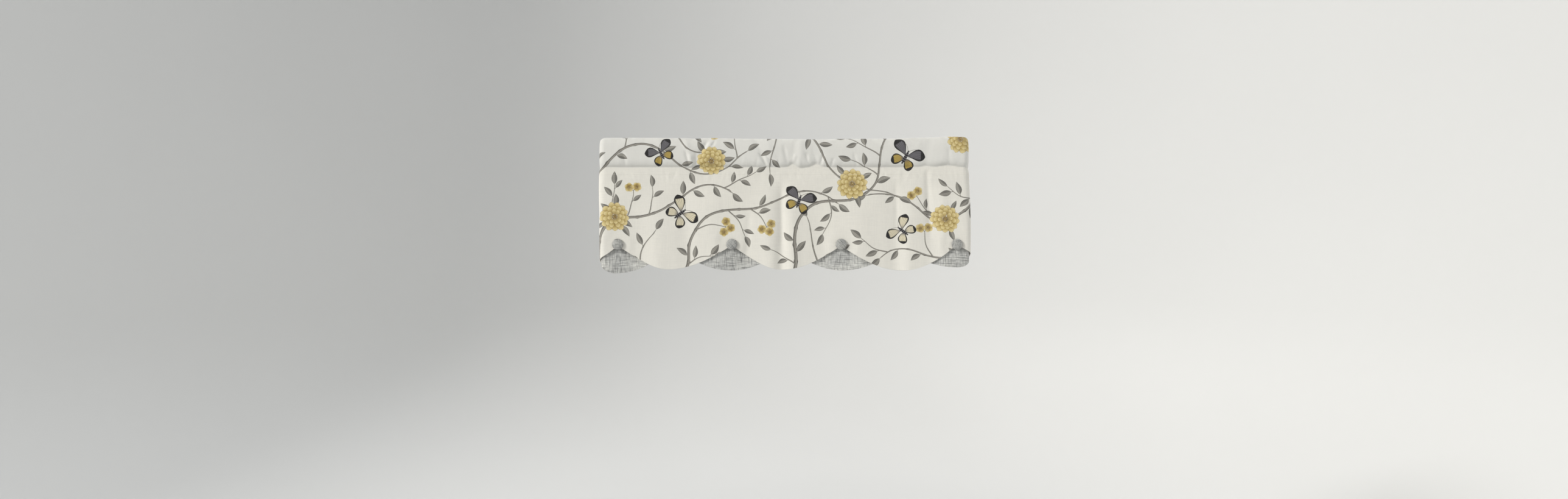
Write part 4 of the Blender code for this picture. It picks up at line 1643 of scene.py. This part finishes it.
def make_stitches():
    """The line of stitches that closes the pocket."""
    starts = np.arange(RUN_MIN + STITCH_MARGIN, RUN_MAX - STITCH_MARGIN, STITCH_PITCH)
    steps = np.array(STITCH_STEPS)
    runs = starts[:, None] + STITCH_LENGTH * (steps + 0.5)
    drops = np.full(runs.shape, STITCH_DROP)
    out = outward(panel_point, runs, drops)
    arch = np.cos(steps * math.pi)[:, None]
    rise = FRONT_THICKNESS / 2 + STITCH_RADIUS * (STITCH_ARCH * arch - STITCH_SUNK)
    core = panel_point(runs, drops) + out * rise
    angle = np.linspace(0, 2 * math.pi, STITCH_SIDES, endpoint=False)[:, None]
    ring = np.cos(angle) * out[:, :, None, :] + np.sin(angle) * np.array((0.0, 0.0, 1.0))
    radius = STITCH_RADIUS * (STITCH_END + (1.0 - STITCH_END) * arch)
    verts = (core[:, :, None, :] + radius[:, :, None] * ring).reshape(-1, 3).tolist()
    faces = []
    size = len(steps) * STITCH_SIDES
    for first in range(0, len(verts), size):
        ring = tuple(range(first, first + STITCH_SIDES))
        last_ring = tuple(range(first + size - STITCH_SIDES, first + size))
        faces += ring_quads(len(steps), STITCH_SIDES, first)
        faces += [ring, last_ring[::-1]]
    obj = add_object("pocket_stitches", verts, faces, stitch_thread())
    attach(obj, BODY)
    return obj


# ---------------------------------------------------------------- stage, light and camera

# The photograph's own frame and the valance's place in it, in pixels, and its scale.
PHOTO_WIDTH, PHOTO_HEIGHT = 2576, 819
PHOTO_MIDDLE_X, PHOTO_TOP_Y = 1289.5, 228.4
METRES_PER_PIXEL = 0.00195
CAMERA_DISTANCE = 2.2
SENSOR_WIDTH = 36.0

FLOOR_Z = -2.45
BOWL_RADIUS = 5.5
BOWL_BEND = 1.6
BOWL_TOP = 4.2
BOWL_STEPS = 12
BOWL_SIDES = 96


def make_stage():
    """A pale floor that curves up into a wall all round."""
    profile = []
    for step in range(BOWL_STEPS + 1):
        angle = math.pi / 2 * step / BOWL_STEPS
        radius = BOWL_RADIUS - BOWL_BEND + BOWL_BEND * math.sin(angle)
        profile.append((radius, FLOOR_Z + BOWL_BEND * (1 - math.cos(angle))))
    profile.append((BOWL_RADIUS, BOWL_TOP))
    verts = [(0.0, 0.0, FLOOR_Z)]
    for radius, z in profile:
        for k in range(BOWL_SIDES):
            angle = 2 * math.pi * k / BOWL_SIDES
            verts.append((radius * math.cos(angle), radius * math.sin(angle), z))
    faces = [(0, 1 + k, 1 + (k + 1) % BOWL_SIDES) for k in range(BOWL_SIDES)]
    faces += ring_quads(len(profile), BOWL_SIDES, 1)
    floor = add_object("stage_floor", verts, faces, stage_paper())
    floor.visible_shadow = False


# Each sun comes from a place in the sky and is as wide as its angle, in degrees.
SUNS = table(
    "name place angle strength colour",
    ("key_sun", (-0.92, -0.52, 0.50), 12.0, 2.74, (1.0, 0.985, 0.955)),
    ("fill_sun", (0.85, -0.45, 0.45), 50.0, 0.75, (0.97, 0.985, 1.0)),
    ("back_sun", (0.45, 0.75, 0.80), 40.0, 1.3, (0.97, 0.985, 1.0)),
)
WORLD_COLOUR = (0.96, 0.98, 1.0)
WORLD_STRENGTH = 0.40


def make_lights():
    world = bpy.data.worlds.new("soft_daylight")
    world.use_nodes = True
    background = world.node_tree.nodes["Background"]
    background.inputs["Color"].default_value = (*WORLD_COLOUR, 1.0)
    background.inputs["Strength"].default_value = WORLD_STRENGTH
    world.cycles.sampling_method = "NONE"
    bpy.context.scene.world = world
    for row in SUNS:
        data = bpy.data.lights.new(row.name, "SUN")
        data.angle = math.radians(row.angle)
        data.energy = row.strength
        data.color = row.colour
        sun = bpy.data.objects.new(row.name, data)
        sun.location = row.place
        sun.rotation_euler = Vector(row.place).to_track_quat("Z", "Y").to_euler()
        sun.visible_camera = False
        bpy.context.scene.collection.objects.link(sun)


def make_camera():
    """A level camera square to the face, framed as the photograph is."""
    data = bpy.data.cameras.new("camera")
    data.sensor_width = SENSOR_WIDTH
    data.lens = SENSOR_WIDTH * CAMERA_DISTANCE / (PHOTO_WIDTH * METRES_PER_PIXEL)
    obj = bpy.data.objects.new("camera", data)
    obj.location = ((PHOTO_WIDTH / 2 - PHOTO_MIDDLE_X) * METRES_PER_PIXEL, -CAMERA_DISTANCE,
                    (PHOTO_TOP_Y - PHOTO_HEIGHT / 2) * METRES_PER_PIXEL)
    obj.rotation_euler = (math.pi / 2, 0.0, 0.0)
    bpy.context.scene.collection.objects.link(obj)
    bpy.context.scene.camera = obj


def main():
    make_stage()
    make_lights()
    make_camera()
    bpy.context.scene.view_settings.view_transform = "Standard"
    panel, panel_area = make_printed_panel()
    petticoat, petticoat_area = make_petticoat()
    stitches = make_stitches()
    button_cloth = crosshatch_cloth("button_cloth", BUTTON_GREY, BUTTON_LIGHT)
    for number in range(1, len(BUTTON_RUNS) + 1):
        make_button(number, button_cloth)


main()
